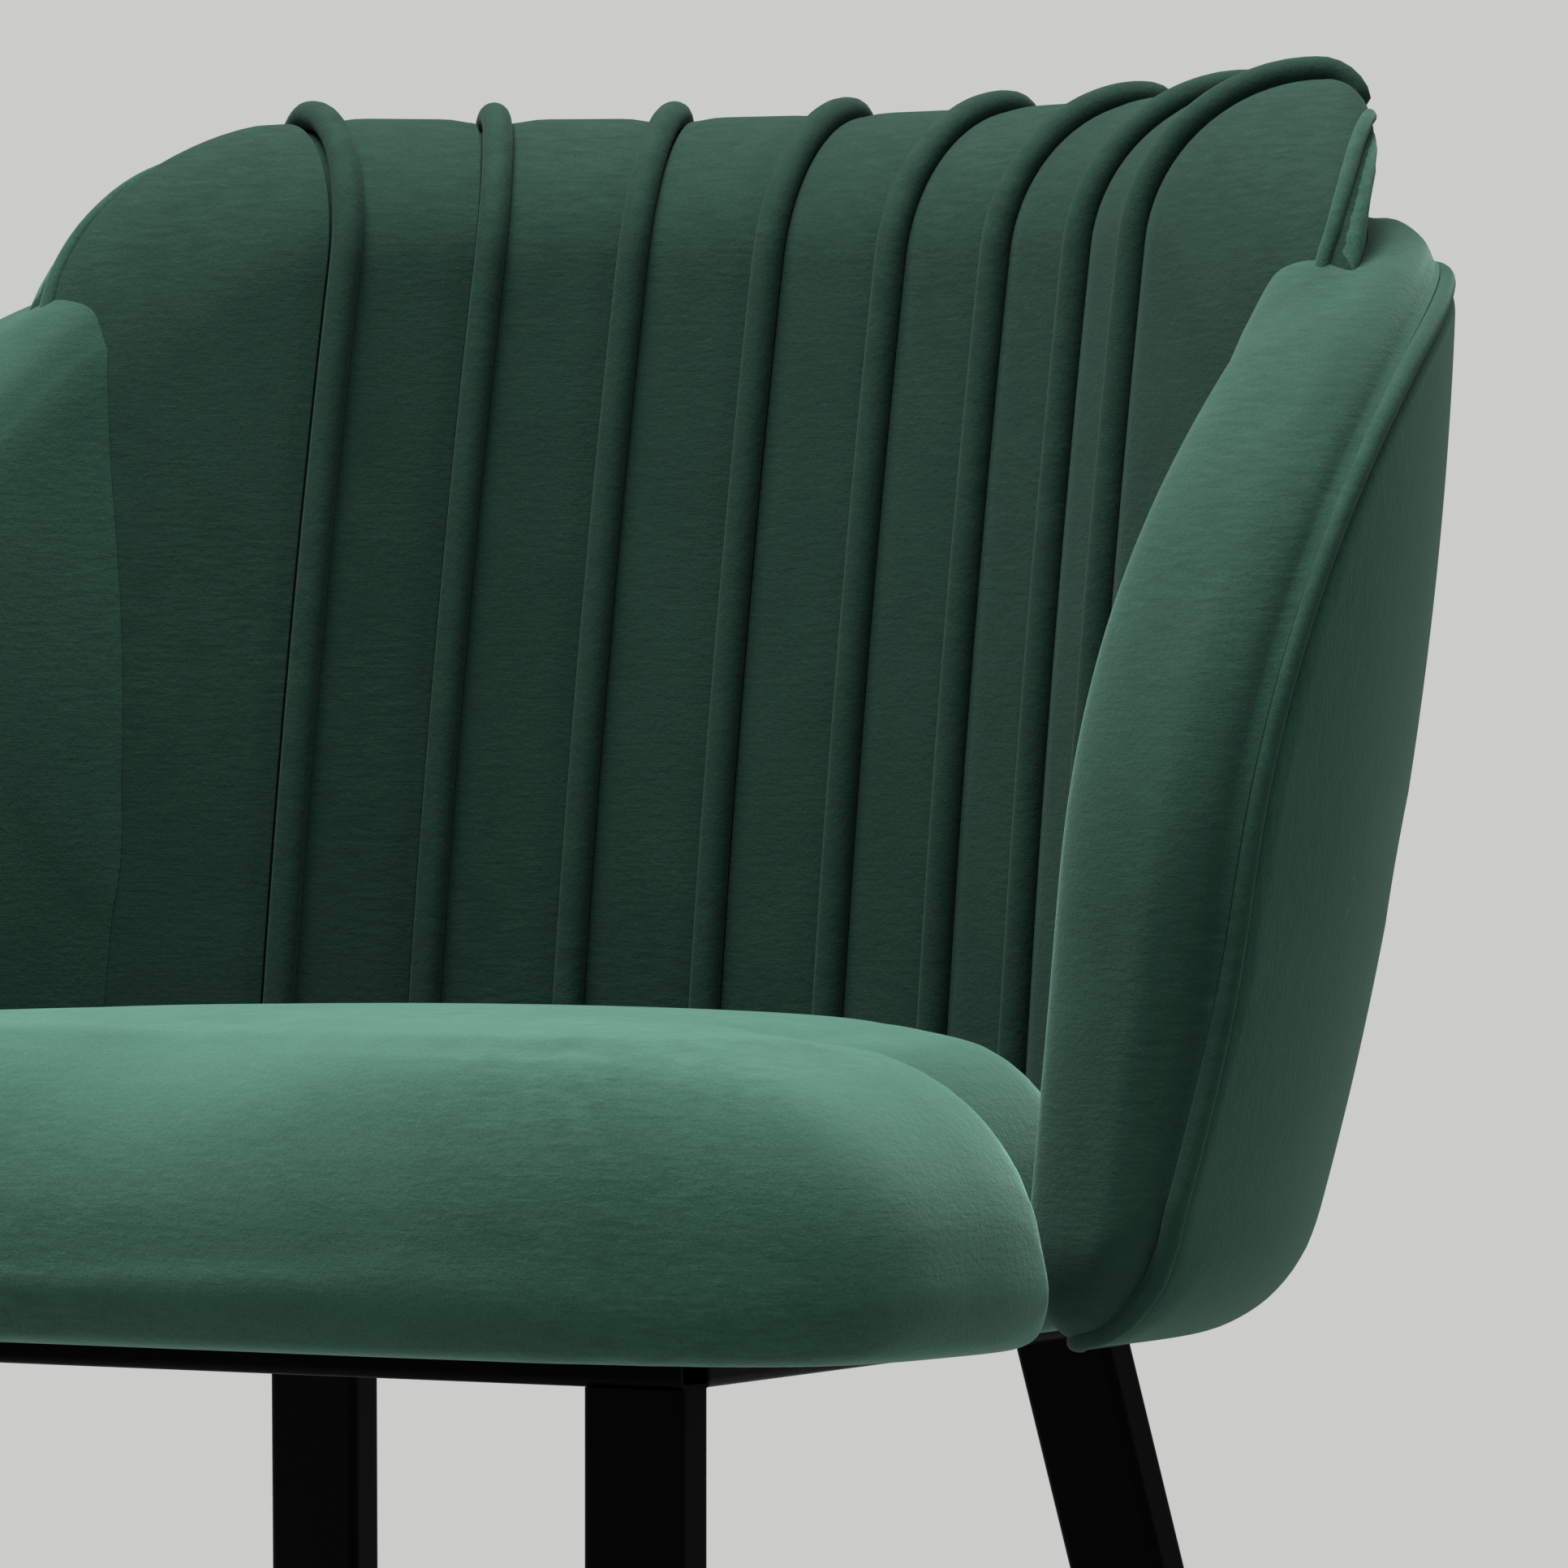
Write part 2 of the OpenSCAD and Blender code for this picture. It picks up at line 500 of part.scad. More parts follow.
// The welt lies in the channel round the outer panel, and curls under the foot of the shell to its inner side
WELT_UNDER = [2, 0, 0.8];
WELT_SUNK = 1.5;
shell_welt_path = [for (e = shell_edge)
    let(q = mix([recess_w + shell_channel/2, WELT_SUNK, 0], WELT_UNDER, e[2])) shell_at(e, q[0], q[1], q[2])];
foot_path = concat([for (i = [2*len(upper_right) - 2:len(shell_edge) - 1]) shell_welt_path[i]],
    [shell_welt_path[0]]);
module closed_tube(path, r, side) {
    n = len(path);
    rings = [for (i = [0:n - 1])
        let(d = path[(i + 1) % n] - path[(i + n - 1) % n], t = d/norm(d),
            u = cross(t, side(i)), e1 = u/norm(u), e2 = cross(t, e1))
        [for (k = [0:TUBE_SIDES - 1]) let(a = -(k + 0.5)*360/TUBE_SIDES)
            path[i] + r*(cos(a)*e1 + sin(a)*e2)]];
    polyhedron(points = [for (ring = rings, p = ring) p],
        faces = [for (i = [0:n - 1], k = [0:TUBE_SIDES - 1], h = [0, 1])
            let(m = TUBE_SIDES, a = i*m + k, b = i*m + (k + 1) % m,
                c = ((i + 1) % n)*m + k, d = ((i + 1) % n)*m + (k + 1) % m)
            h == 0 ? [a, b, c] : [b, d, c]], convexity = 8);
}
module shell_welt() color(VELVET_CORD) place()
    closed_tube(shell_welt_path, welt_r, function(i) outward(shell_welt_path[i], shell_y));

// Everything above is measured from the front of the frame and the underside of the rails
rear_reach = max([for (p = shell_welt_path) p[1]]) + welt_r;
frame_y = (seat_front - rear_reach)/2;
module place() translate([0, frame_y, rail_z]) children();

// Steel frame
front_x = frame_front_w/2;
rear_x = frame_rear_w/2;
module rounded(w, h, r, sides = 32) {
    square([w - 2*r, h], center = true);
    square([w, h - 2*r], center = true);
    for (x = [-1, 1], y = [-1, 1]) translate([x*(w/2 - r), y*(h/2 - r)]) circle(r = r, $fn = sides);
}
module tube_section(w, h) difference() {
    rounded(w, h, tube_corner);
    rounded(w - 2*tube_wall, h - 2*tube_wall, tube_corner - tube_wall);
}
// Rail along X, from -half to half, centred on y
module cross_rail(half, y) translate([-half, y, rail_h/2]) rotate([90, 0, 90])
    linear_extrude(2*half) tube_section(tube_t, rail_h);
module front_rail() color(STEEL) place() cross_rail(front_x, tube_t/2);
module rear_rail() color(STEEL) place() cross_rail(rear_x, frame_depth - tube_t/2);
side_run = frame_depth - 2*tube_t;
side_angle = atan((front_x - rear_x)/side_run);
module side_rail(s) color(STEEL) place() intersection() {
    translate([s*(front_x - tube_t/2/cos(side_angle)), tube_t, rail_h/2]) rotate([0, 0, s*side_angle])
        rotate([-90, 0, 0]) translate([0, 0, -tube_t]) linear_extrude(side_run + 3*tube_t)
            tube_section(tube_t, rail_h);
    translate([-front_x, tube_t, 0]) cube([2*front_x, side_run, rail_h]);
}
// Legs hang from the rails; each is a tube along the leg's own axis, cut level at both ends
floor_z = -rail_z;
function leg_axis(s, rear) = rear ? [s*tan(rear_leg_out), tan(rear_leg_back), -1] : [0, 0, -1];
module along_leg(s, rear) {
    ax = leg_axis(s, rear);
    x = rear ? rear_x - tube_w/2 : front_x - tube_w/2;
    y = rear ? frame_depth - tube_t/2 : tube_t/2;
    translate([s*x, y, 0]) rotate([atan(ax[1]), 0, 0]) rotate([0, -atan(ax[0]*cos(atan(ax[1]))), 0])
        children();
}
module level_cut(z0, z1) intersection() {
    children();
    translate([-500, -200, z0]) cube([1000, 1000, z1 - z0]);
}
module leg(s, rear) color(STEEL) place() level_cut(floor_z + glide_t, 0) along_leg(s, rear)
    translate([0, 0, -rail_z - 60]) linear_extrude(rail_z + 80) tube_section(tube_w, tube_t);
module glide(s, rear) color(PLASTIC) place() {
    level_cut(floor_z, floor_z + glide_t) along_leg(s, rear)
        translate([0, 0, -rail_z - 60]) linear_extrude(rail_z) rounded(tube_w, tube_t, tube_corner);
    level_cut(floor_z + glide_t, floor_z + glide_t + glide_plug) along_leg(s, rear)
        translate([0, 0, -rail_z - 60]) linear_extrude(rail_z)
            rounded(tube_w - 2*tube_wall - 2*fit_gap, tube_t - 2*tube_wall - 2*fit_gap, 1, 8);
}

// Seat tabs, bolts and T-nuts at the four corners of the rail frame
TAB_IN = 0.6;
tab_y = [tube_t + tab_w/2, back_depth - rear_tab_gap];
function rail_inner_x(y) = front_x - (y - tube_t)*tan(side_angle) - tube_t/cos(side_angle);
function tab_hole_x(y) = rail_inner_x(y) - tab_l*TAB_IN;
module tab_places() for (s = [-1, 1], y = tab_y) translate([s*tab_hole_x(y), y, 0]) children();
module seat_tabs() color(STEEL) place() difference() {
    for (s = [-1, 1], y = tab_y) intersection() {
        translate([s*(tab_hole_x(y) + tab_l/2 - tab_w/2) - tab_l/2 - 0, y - tab_w/2, rail_h - tab_t])
            cube([tab_l, tab_w, tab_t]);
        linear_extrude(rail_h) polygon([[-rail_inner_x(tube_t), tube_t], [rail_inner_x(tube_t), tube_t],
            [rail_inner_x(frame_depth - tube_t), frame_depth - tube_t],
            [-rail_inner_x(frame_depth - tube_t), frame_depth - tube_t]]);
    }
    tab_places() cylinder(d = bolt_d + 2*fit_gap, h = 100, center = true, $fn = 32);
}
bolt_head_d = 12;
bolt_head_h = 3.5;
bolt_l = tab_t + dust_cover_t + seat_board_t - 1;
module seat_bolts() color(ZINC) place() tab_places() {
    translate([0, 0, rail_h - tab_t - bolt_head_h]) difference() {
        cylinder(d = bolt_head_d, h = bolt_head_h, $fn = SCREW_SIDES);
        translate([0, 0, -1]) cylinder(d = 4.6, h = 3, $fn = 6);
    }
    translate([0, 0, rail_h - tab_t]) cylinder(d = bolt_d, h = bolt_l, $fn = SCREW_SIDES);
}
nut_barrel_d = bolt_d + 2;
nut_flange_d = 18;
nut_flange_t = 1.5;
module seat_t_nuts() color(ZINC) place() tab_places() difference() {
    union() {
        translate([0, 0, board_z + seat_board_t - nut_flange_t]) cylinder(d = nut_flange_d, h = nut_flange_t, $fn = SCREW_SIDES);
        translate([0, 0, board_z + 2]) cylinder(d = nut_barrel_d, h = seat_board_t - 2 - nut_flange_t, $fn = SCREW_SIDES);
    }
    cylinder(d = bolt_d + 0.1, h = 100, $fn = SCREW_SIDES);
}
board_inset = seat_edge_foam;
module board_outline(inset) polygon(seat_outline(inset));
module seat_board() color(PLY) place() difference() {
    translate([0, 0, board_z]) linear_extrude(seat_board_t) board_outline(board_inset);
    tab_places() {
        cylinder(d = nut_barrel_d + fit_gap, h = 100, $fn = SCREW_SIDES);
        translate([0, 0, board_z + seat_board_t - nut_flange_t - 0.1]) cylinder(d = nut_flange_d + fit_gap, h = 20, $fn = SCREW_SIDES);
    }
}
module dust_cover() color(DUST) place() difference() {
    translate([0, 0, rail_h]) linear_extrude(dust_cover_t) board_outline(board_inset + 4);
    tab_places() cylinder(d = bolt_d + 1, h = 100, $fn = SCREW_SIDES);
}
frame_outline = [[-front_x, 0], [front_x, 0], [front_x, tube_t], [rear_x, frame_depth - tube_t],
    [rear_x, frame_depth], [-rear_x, frame_depth], [-rear_x, frame_depth - tube_t], [-front_x, tube_t]];
module seat_cushion() color(VELVET) place() difference() {
    seat_form();
    translate([0, 0, -1]) linear_extrude(board_z + seat_board_t + 1 + fit_gap)
        board_outline(board_inset - soft_gap);
    translate([0, 0, -1]) linear_extrude(board_z + 1 + fit_gap) offset(delta = 1) polygon(frame_outline);
}

// Flat bars from the rear rail to the shell board
bar_z = 0;
bar_mid_z = bar_z + 58;
board_in_r = shell_face(bar_mid_z) - shell_board_d - shell_board_t;
bar_angle = asin(bar_x/board_in_r);
bar_tilt = atan((shell_belly - bar_mid_z)/shell_bulge_r + tan(recline));
bar_gap = 3.1;
// Middle of the blade's outer face
bar_touch = [bar_x - bar_gap*sin(bar_angle),
    shell_y + lean(bar_mid_z) + (board_in_r - bar_gap)*cos(bar_angle), bar_mid_z];
module blade_frame(s) translate([s*bar_touch[0], bar_touch[1], bar_touch[2]])
    rotate([0, 0, -s*bar_angle]) rotate([-bar_tilt, 0, 0]) children();
blade_down = bar_mid_z/cos(bar_tilt);
module bar_blade(s, g) intersection() {
    blade_frame(s) translate([-bar_w/2 - g, -bar_t - 3.5*g, -blade_down - 20])
        cube([bar_w + 2*g, bar_t + (g > 0 ? 18 : 0), bar_rise + 20 + g]);
    translate([-300, 0, bar_z]) cube([600, 700, 300]);
}
module bar_arm(s) linear_extrude(bar_t) {
    far = bar_touch[1] - bar_mid_z*tan(bar_tilt) + 4;
    translate([s*bar_x - bar_w/2, frame_depth]) square([bar_w, far - frame_depth]);
}
module back_bar(s) color(STEEL) place() difference() {
    union() {
        bar_blade(s, 0);
        bar_arm(s);
    }
    blade_frame(s) translate([-bar_w, 0, -blade_down - 20]) cube([2*bar_w, 60, 200]);
    bar_screw_holes(screw_d/2 + 0.25);
}
module bar_pocket(s) {
    bar_blade(s, 1);
    translate([s*bar_x - bar_w/2 - 3, frame_depth, bar_z - 5]) cube([bar_w + 6, 200, bar_t + 6]);
}

// Screws that hold the inner back to the shell
BACK_SCREW_ANGLE = 20;
BACK_SCREW_Z = [150, 300];
SCREW_SUNK = 3;
HEAD_H = 2.5;
module at_back_screws() for (s = [-1, 1], z = BACK_SCREW_Z)
    translate([0, shell_y + lean(z), z]) rotate([0, 0, -s*BACK_SCREW_ANGLE])
        translate([0, shell_face(z) - shell_board_d - SCREW_SUNK, 0]) rotate([90, 0, 0]) children();
module back_screw_holes(r) at_back_screws() translate([0, 0, -30]) cylinder(r = r, h = 30 + back_screw_l, $fn = SCREW_SIDES);
module back_screws() color(ZINC) place() at_back_screws() {
    cylinder(d = 2*back_screw_d, h = HEAD_H, $fn = SCREW_SIDES);
    cylinder(d = back_screw_d, h = back_screw_l, $fn = SCREW_SIDES);
}

BLADE_HOLES = [-18, 18];
module at_bar_screws() for (s = [-1, 1], h = BLADE_HOLES) blade_frame(s) translate([0, 0, h])
    rotate([-90, 0, 0]) children();
module bar_screw_holes(r) at_bar_screws() translate([0, 0, -20]) cylinder(r = r, h = 30, $fn = SCREW_SIDES);
screw_l = 9;
module back_bar_screws() color(ZINC) place() at_bar_screws() {
    translate([0, 0, -bar_t - 2.2]) cylinder(d = 2*screw_d, h = 2.2, $fn = SCREW_SIDES);
    translate([0, 0, -bar_t]) cylinder(d = screw_d, h = bar_t + screw_l - 1, $fn = SCREW_SIDES);
}

front_rail();
rear_rail();
side_rail(1);  // left_side_rail
side_rail(-1);  // right_side_rail
leg(1, false);  // front_left_leg
leg(-1, false);  // front_right_leg
leg(1, true);  // rear_left_leg
leg(-1, true);  // rear_right_leg
glide(1, false);  // front_left_glide
glide(-1, false);  // front_right_glide
glide(1, true);  // rear_left_glide
glide(-1, true);  // rear_right_glide
seat_tabs();
seat_bolts();
seat_t_nuts();
seat_board();
dust_cover();
seat_cushion();
back_bar(1);  // left_back_bar
back_bar(-1);  // right_back_bar
back_bar_screws();
back_screws();
back_board();
back_pad();
back_rear_panel();
back_rear_welt();
piping(1);  // back_piping_1
piping(2);  // back_piping_2
piping(3);  // back_piping_3
piping(4);  // back_piping_4
piping(5);  // back_piping_5
piping(6);  // back_piping_6
piping(7);  // back_piping_7
piping(8);  // back_piping_8
shell_board();
shell_pad();
shell_panel();
shell_welt();
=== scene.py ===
"""Looks of the upholstered dining chair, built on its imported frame.

Lengths in the shape functions are millimetres, measured as in the part: x across, y back from the
front of the rail frame, z up from the underside of the rails. world() turns them into the frame's
metres. Angles in plan are degrees from the rear, positive towards the chair's left.
"""

import json
import math

import bpy
import bmesh
import numpy as np
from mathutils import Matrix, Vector

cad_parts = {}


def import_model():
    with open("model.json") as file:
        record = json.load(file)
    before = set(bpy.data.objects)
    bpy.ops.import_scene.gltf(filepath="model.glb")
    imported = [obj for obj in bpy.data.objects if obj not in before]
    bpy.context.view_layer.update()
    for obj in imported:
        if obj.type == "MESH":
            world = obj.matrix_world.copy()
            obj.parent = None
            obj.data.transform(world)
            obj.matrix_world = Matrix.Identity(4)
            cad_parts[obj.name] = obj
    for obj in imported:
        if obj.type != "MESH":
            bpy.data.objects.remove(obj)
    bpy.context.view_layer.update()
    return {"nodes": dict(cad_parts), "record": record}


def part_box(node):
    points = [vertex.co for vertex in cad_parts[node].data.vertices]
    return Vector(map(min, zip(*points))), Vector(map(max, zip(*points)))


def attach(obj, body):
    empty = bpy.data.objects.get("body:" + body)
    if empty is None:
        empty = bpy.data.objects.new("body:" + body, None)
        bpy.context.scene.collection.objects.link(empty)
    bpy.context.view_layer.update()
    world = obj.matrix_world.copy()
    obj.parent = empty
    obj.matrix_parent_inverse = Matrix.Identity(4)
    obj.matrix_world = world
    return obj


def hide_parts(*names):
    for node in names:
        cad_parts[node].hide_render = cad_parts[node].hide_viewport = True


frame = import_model()

MM = 0.001
FRAME_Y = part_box("front_rail")[0].y / MM
RAIL_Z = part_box("front_rail")[0].z / MM
PART_ORIGIN = np.array((0, FRAME_Y, RAIL_Z))

# Rail frame and seat board
RAIL_H = 25
WALL = 16
FRAME_DEPTH = 323
FRONT_X, REAR_X = 203.5, 164.5
BOARD_HALF = 260
BOARD_Z = 25.8
BOARD_T = 12

# Seat cushion
SEAT_RISE = 105
SEAT_CROWN = 5
SEAT_HALF = 269
SEAT_FRONT = 36
SEAT_WIDEST = 75
SEAT_BELLY = 28
SEAT_SHOULDER = 85
SEAT_LIP = 20
SEAT_EDGE_FOAM = 31
SEAT_BACK_R = 218.5
SEAT_WING_R = 227.5
SEAT_SQUARE = 4.4
SEAT_SIDE_SEMI = 197
# Angles between which the rear edge passes from the back's curve to the wing's, then to the side's
SEAT_TURN = (49.5, 60)
SEAT_SIDE = (73.5, 83)
# The shoulder is steeper at the rear: share of its inset there, and where that ends
SEAT_REAR_SHARE = 0.55
SEAT_REAR_FADE = (50, 100)
UNDERSIDE_INSETS = (1.3, 0.9)
LIP_INSET = 0.55

# Cloth simulation of the seat
CLOTH_VOXEL = 5
CLOTH_SHRINK = 2.0
CLOTH_CAP = 2
CLOTH_HELD_UNDER = SEAT_BELLY - 12
CLOTH_HELD_RAMP = 26
CLOTH_PRESSURE = 4
CLOTH_STIFFNESS = 25
CLOTH_BENDING = 1.5
CLOTH_FRAMES = 20

# Dust cover and its staples
COVER_INSET = 35
COVER_MIDDLE = (0, 150)
COVER_FACES = (0.15, 0.7)
COVER_SAG = 2.5
COVER_SAG_RAMP = 70
TAB_Y = (28, 225.75)
TAB_REACH, TAB_HALF_W, TAB_RAMP = 40, 12, 30
STAPLE_INSET = 6
STAPLE_CLEAR = 6
STAPLE_PITCH = 33
STAPLE_R = 0.5
STAPLE_ALONG = np.array([-5, -4.6, -3.8, 0, 3.8, 4.6, 5])
STAPLE_RISE = np.array([0.9, 0.2, -0.15, -0.2, -0.15, 0.2, 0.9])

# Inner back
BACK_R = 225
BACK_DEPTH = 365.75
SEAT_LINE = 113
RECLINE = 6.6
BOW_R = 2900
CHANNELS = 7
CHANNEL_W = 49.4
HALF_ANGLE = 58
CREST = 407.2
ROLL_H = 54
ROLL_FRONT = 54
ROLL_REAR = 14
ROLL_FALL = 16
BACK_BOTTOM = 27
BACK_CORNER = 85
CORNER_FADE_Z = 150
END_EDGE = 7
PIPING_R = 5.2
PIPING_PROUD = 0.8
BACK_WELT_R = 2.6
BACK_PANEL_T = 10
BACK_BOARD_T = 9
LAYER_GAP = 0.9
ROLL_TURN = 1.2557
END_TURN = 90
END_WIDEN = 0.07
END_LEVEL = -6
TUCK = 0.34
TUCK_H = 150
FACE_DEPTH = 12
# Dips of the cover beside a piping: depth, distance at which it starts to rise, width of the rise
SEAM_DIPS = ((1.3, 4.6, 9), (4.0, 3.4, 2.0))
CHANNEL_PUFF, PUFF_RAMP = 0.9, 22
# Distances from each piping at which the pad has a section
SEAM_STATIONS = (0, 2, 3.2, 4, 4.6, 5.2, 6, 7.2, 9, 11.5, 15, 19)
# Pocket for the back board in the pad's rear face
POCKET_TOP, POCKET_BOTTOM = 345, 45
POCKET_FLOOR = (341, 250, 140, 49)
# The rear seam climbs over the roll of the ends: angle in plan, and turn of the rear roll there
SEAM_CLIMB = ((45.6, 90), (48.4, 68), (50.9, 49), (53.3, 36), (55.6, 29), (57.0, 22), (58, 8))
# Depth by which the rear panel and the shell's outer panel are rounded over at their edges
PANEL_ROUND = 2.8

# Outer shell
SHELL_R = 307
SHELL_INNER_R = 228
WING_DRAW = 24
SHELL_Y = 172.4
SHELL_BELLY = 270
SHELL_BULGE_R = 1058
SHELL_TOP = 361
SHELL_BOTTOM = 6
WING_ANGLE = 95
WING_CORNER = 50
WING_STRAIGHT = 131
WING_FULLNESS = 2.3
WING_TOE = 34
WELT_R = 3.4
PANEL_T = 4.1
SHELL_BOARD_T = 9.8
SPINE_HALF = 75
SPINE_Z = 150
SPINE_SHARE = 0.88
RIM = 70
# Bed of the outer panel: its edge at the top and at the foot, and the deeper floor's edge there
RECESS_W = 13
LOWER_W = 24
FLOOR_W = (21.4, 29.4)
LEDGE = 5.4
# Nominal thickness by which the cover's shares are multiplied to measure along it
COVER_T = 50
# Rolled edge as distance from the edge and share of the thickness, at the top and at the foot
TOP_ROLL = ((12.2, 0.12), (6, 0.18), (0, 0.37), (1.4, 0.58), (5, 0.78), (12, 0.93), (27, 1))
FOOT_ROLL = ((24, 0.10), (9.5, 0.28), (2.2, 0.54), (1.6, 0.71), (3.8, 0.85), (10.5, 0.96), (30, 1))
# Cover over the panel, the welt and the roll, from the outer face round the edge
TOP_COVER = (
    (60, 0), (33, 0), (22, 0), (13, 0.04), (6, 0.15),
    (0, 0.35), (1.8, 0.57), (7, 0.76), (16, 0.92),
)
FOOT_COVER = (
    (60, 0), (38, 0), (28, 0.01), (19, 0.055), (8, 0.2),
    (0.8, 0.47), (0, 0.68), (2.6, 0.84), (10, 0.95),
)
# Place of the welt along that cover, by how far the profile of the foot applies
WELT_LOW = (0, 0.3, 0.5, 0.66, 0.8, 1)
WELT_AT = (38.3, 41.5, 48, 60, 78, 86)
WELT_SLIDE = 5
WELT_SLIDE_Z = (190, 60)
WELT_SUNK = 2.4
# The crest of the shell is fuller near the inner back's ends
CREST_LIFT = 6.5
CREST_LIFT_Z = (285, 340)
CREST_LIFT_ANGLE = (76, 68)

CROWN_Y = BACK_DEPTH / 2 - SEAT_FRONT
BACK_AXIS_Y = BACK_DEPTH - BACK_R
PIPING_STEP = math.degrees(CHANNEL_W / BACK_R)
LAST_PIPING = CHANNELS / 2 * PIPING_STEP
END_CREST = BACK_CORNER + END_LEVEL
BACK_T = ROLL_FRONT + ROLL_REAR
ROLL_START = CREST - ROLL_H
ROLL_END = CREST - ROLL_FALL
RECESS_TOP = ROLL_END - 2
PAD_RHO = BACK_T - BACK_PANEL_T - LAYER_GAP
RECESS_RHO = PAD_RHO - 2 * LAYER_GAP - BACK_BOARD_T
SHELL_ARC = math.radians(SHELL_R)
SHELL_FLOOR = PANEL_T + LAYER_GAP + SHELL_BOARD_T + LAYER_GAP


# Numbers and paths


def world(points):
    """Part millimetres to frame metres."""
    return (np.asarray(points, float) + PART_ORIGIN) * MM


def sind(a):
    return np.sin(np.radians(a))


def cosd(a):
    return np.cos(np.radians(a))


def mix(a, b, t):
    return a + (b - a) * t


def smooth(t):
    t = np.clip(t, 0, 1)
    return t * t * (3 - 2 * t)


def ramp(value, start, end):
    """Smooth share from 0 at start to 1 at end."""
    return smooth((value - start) / (end - start))


def unit(vectors):
    return vectors / np.linalg.norm(vectors, axis=1, keepdims=True)


def rounded_off(distance, radius):
    """Share by which a quarter-round edge falls away, by distance in from the edge."""
    return 1 - np.sqrt(1 - (1 - np.clip(distance / radius, 0, 1)) ** 2)


def rows(*arrays):
    """Columns as one array of points."""
    return np.stack(np.broadcast_arrays(*arrays), axis=-1).astype(float)


def curve_through(knots, values, at):
    """Monotone cubic curve through values at knots, read at the points `at`."""
    knots = np.asarray(knots, float)
    values = np.asarray(values, float)
    step = np.diff(knots)
    slope = np.diff(values) / step
    tangent = np.zeros_like(values)
    tangent[0], tangent[-1] = slope[0], slope[-1]
    same = slope[:-1] * slope[1:] > 0
    harmonic = 2 * slope[:-1] * slope[1:] / np.where(same, slope[:-1] + slope[1:], 1)
    tangent[1:-1] = np.where(same, harmonic, 0)
    i = np.clip(np.searchsorted(knots, at) - 1, 0, len(step) - 1)
    t = (at - knots[i]) / step[i]
    h = step[i]
    return (
        values[i] * (1 + 2 * t) * (1 - t) ** 2
        + values[i + 1] * t * t * (3 - 2 * t)
        + h * tangent[i] * t * (1 - t) ** 2
        - h * tangent[i + 1] * t * t * (1 - t)
    )


def profile_through(knots, count):
    """Smooth profile of `count` points through its knots."""
    knots = np.asarray(knots, float)
    even = np.arange(len(knots), dtype=float)
    at = np.linspace(0, len(knots) - 1, count)
    return np.stack([curve_through(even, knots[:, k], at) for k in (0, 1)], axis=1)


def travelled(points):
    """Distance along a path at each of its points."""
    return np.concatenate([[0], np.cumsum(np.linalg.norm(np.diff(points, axis=0), axis=1))])


def path_at(points, reach, at):
    """Points of a path where its measure `reach` has the values `at`."""
    return np.stack([np.interp(at, reach, points[:, k]) for k in range(points.shape[1])], axis=-1)


def even_path(points, step, closed=False):
    """The same path with points about `step` apart."""
    points = np.asarray(points, float)
    if closed:
        points = np.vstack([points, points[:1]])
    reach = travelled(points)
    count = max(8, int(round(reach[-1] / step)))
    at = np.linspace(0, reach[-1], count + 1)
    return path_at(points, reach, at[:-1] if closed else at)


def curve_resampled(points, count):
    """The same path with `count` + 1 points."""
    return path_at(points, np.linspace(0, 1, len(points)), np.linspace(0, 1, count + 1))


def headings(path, closed):
    """Unit directions along a path."""
    if closed:
        return unit(np.roll(path, -1, axis=0) - np.roll(path, 1, axis=0))
    return unit(np.gradient(path, axis=0))


# Meshes and objects


def linked(name, data):
    obj = bpy.data.objects.new(name, data)
    bpy.context.scene.collection.objects.link(obj)
    return obj


def shaded(obj, angle):
    """Smooth shading with edges over `angle` degrees kept crisp."""
    obj.data.shade_smooth()
    obj.data.set_sharp_from_angle(angle=math.radians(angle))
    return obj


def mesh_object(name, points, faces, angle=50):
    mesh = bpy.data.meshes.new(name)
    mesh.from_pydata([tuple(p) for p in points], [], faces)
    obj = linked(name, mesh)
    work = bmesh.new()
    work.from_mesh(mesh)
    bmesh.ops.recalc_face_normals(work, faces=work.faces)
    work.to_mesh(mesh)
    work.free()
    return shaded(obj, angle)


def skin(name, rings, wrap=False, angle=50):
    """Closed skin over an array of rings, with a cap on each end or wrapped into a loop."""
    rings = np.asarray(rings, float)
    m, n = rings.shape[:2]
    faces = []
    for i in range(m if wrap else m - 1):
        a, b = i * n, (i + 1) % m * n
        for j in range(n):
            k = (j + 1) % n
            faces.append((a + j, a + k, b + k, b + j))
    if not wrap:
        for base in (0, (m - 1) * n):
            for j in range(n // 2 - 1):
                faces.append((base + j, base + j + 1, base + n - 2 - j, base + n - 1 - j))
    return mesh_object(name, world(rings.reshape(-1, 3)), faces, angle)


def tube(name, path, radius, side, sides=20, closed=False, step=4.0):
    """Round tube along a path, with blunt ends unless it is closed.

    side(path) gives a direction away from the surface that the tube lies on."""
    path = even_path(path, step, closed)
    along = headings(path, closed)
    across = unit(np.cross(along, side(path)))
    up = np.cross(across, along)
    turn = np.linspace(0, 360, sides, endpoint=False)
    size = np.full(len(path), float(radius))
    if not closed:
        from_end = np.minimum(np.arange(len(path)), np.arange(len(path))[::-1]) * step
        size *= np.sqrt(np.clip(1 - (1 - np.clip(from_end / radius, 0, 1)) ** 2, 0.09, 1))
    rings = (
        path[:, None]
        + size[:, None, None] * cosd(turn)[None, :, None] * across[:, None]
        + size[:, None, None] * sind(turn)[None, :, None] * up[:, None]
    )
    return skin(name, rings, wrap=closed, angle=80)


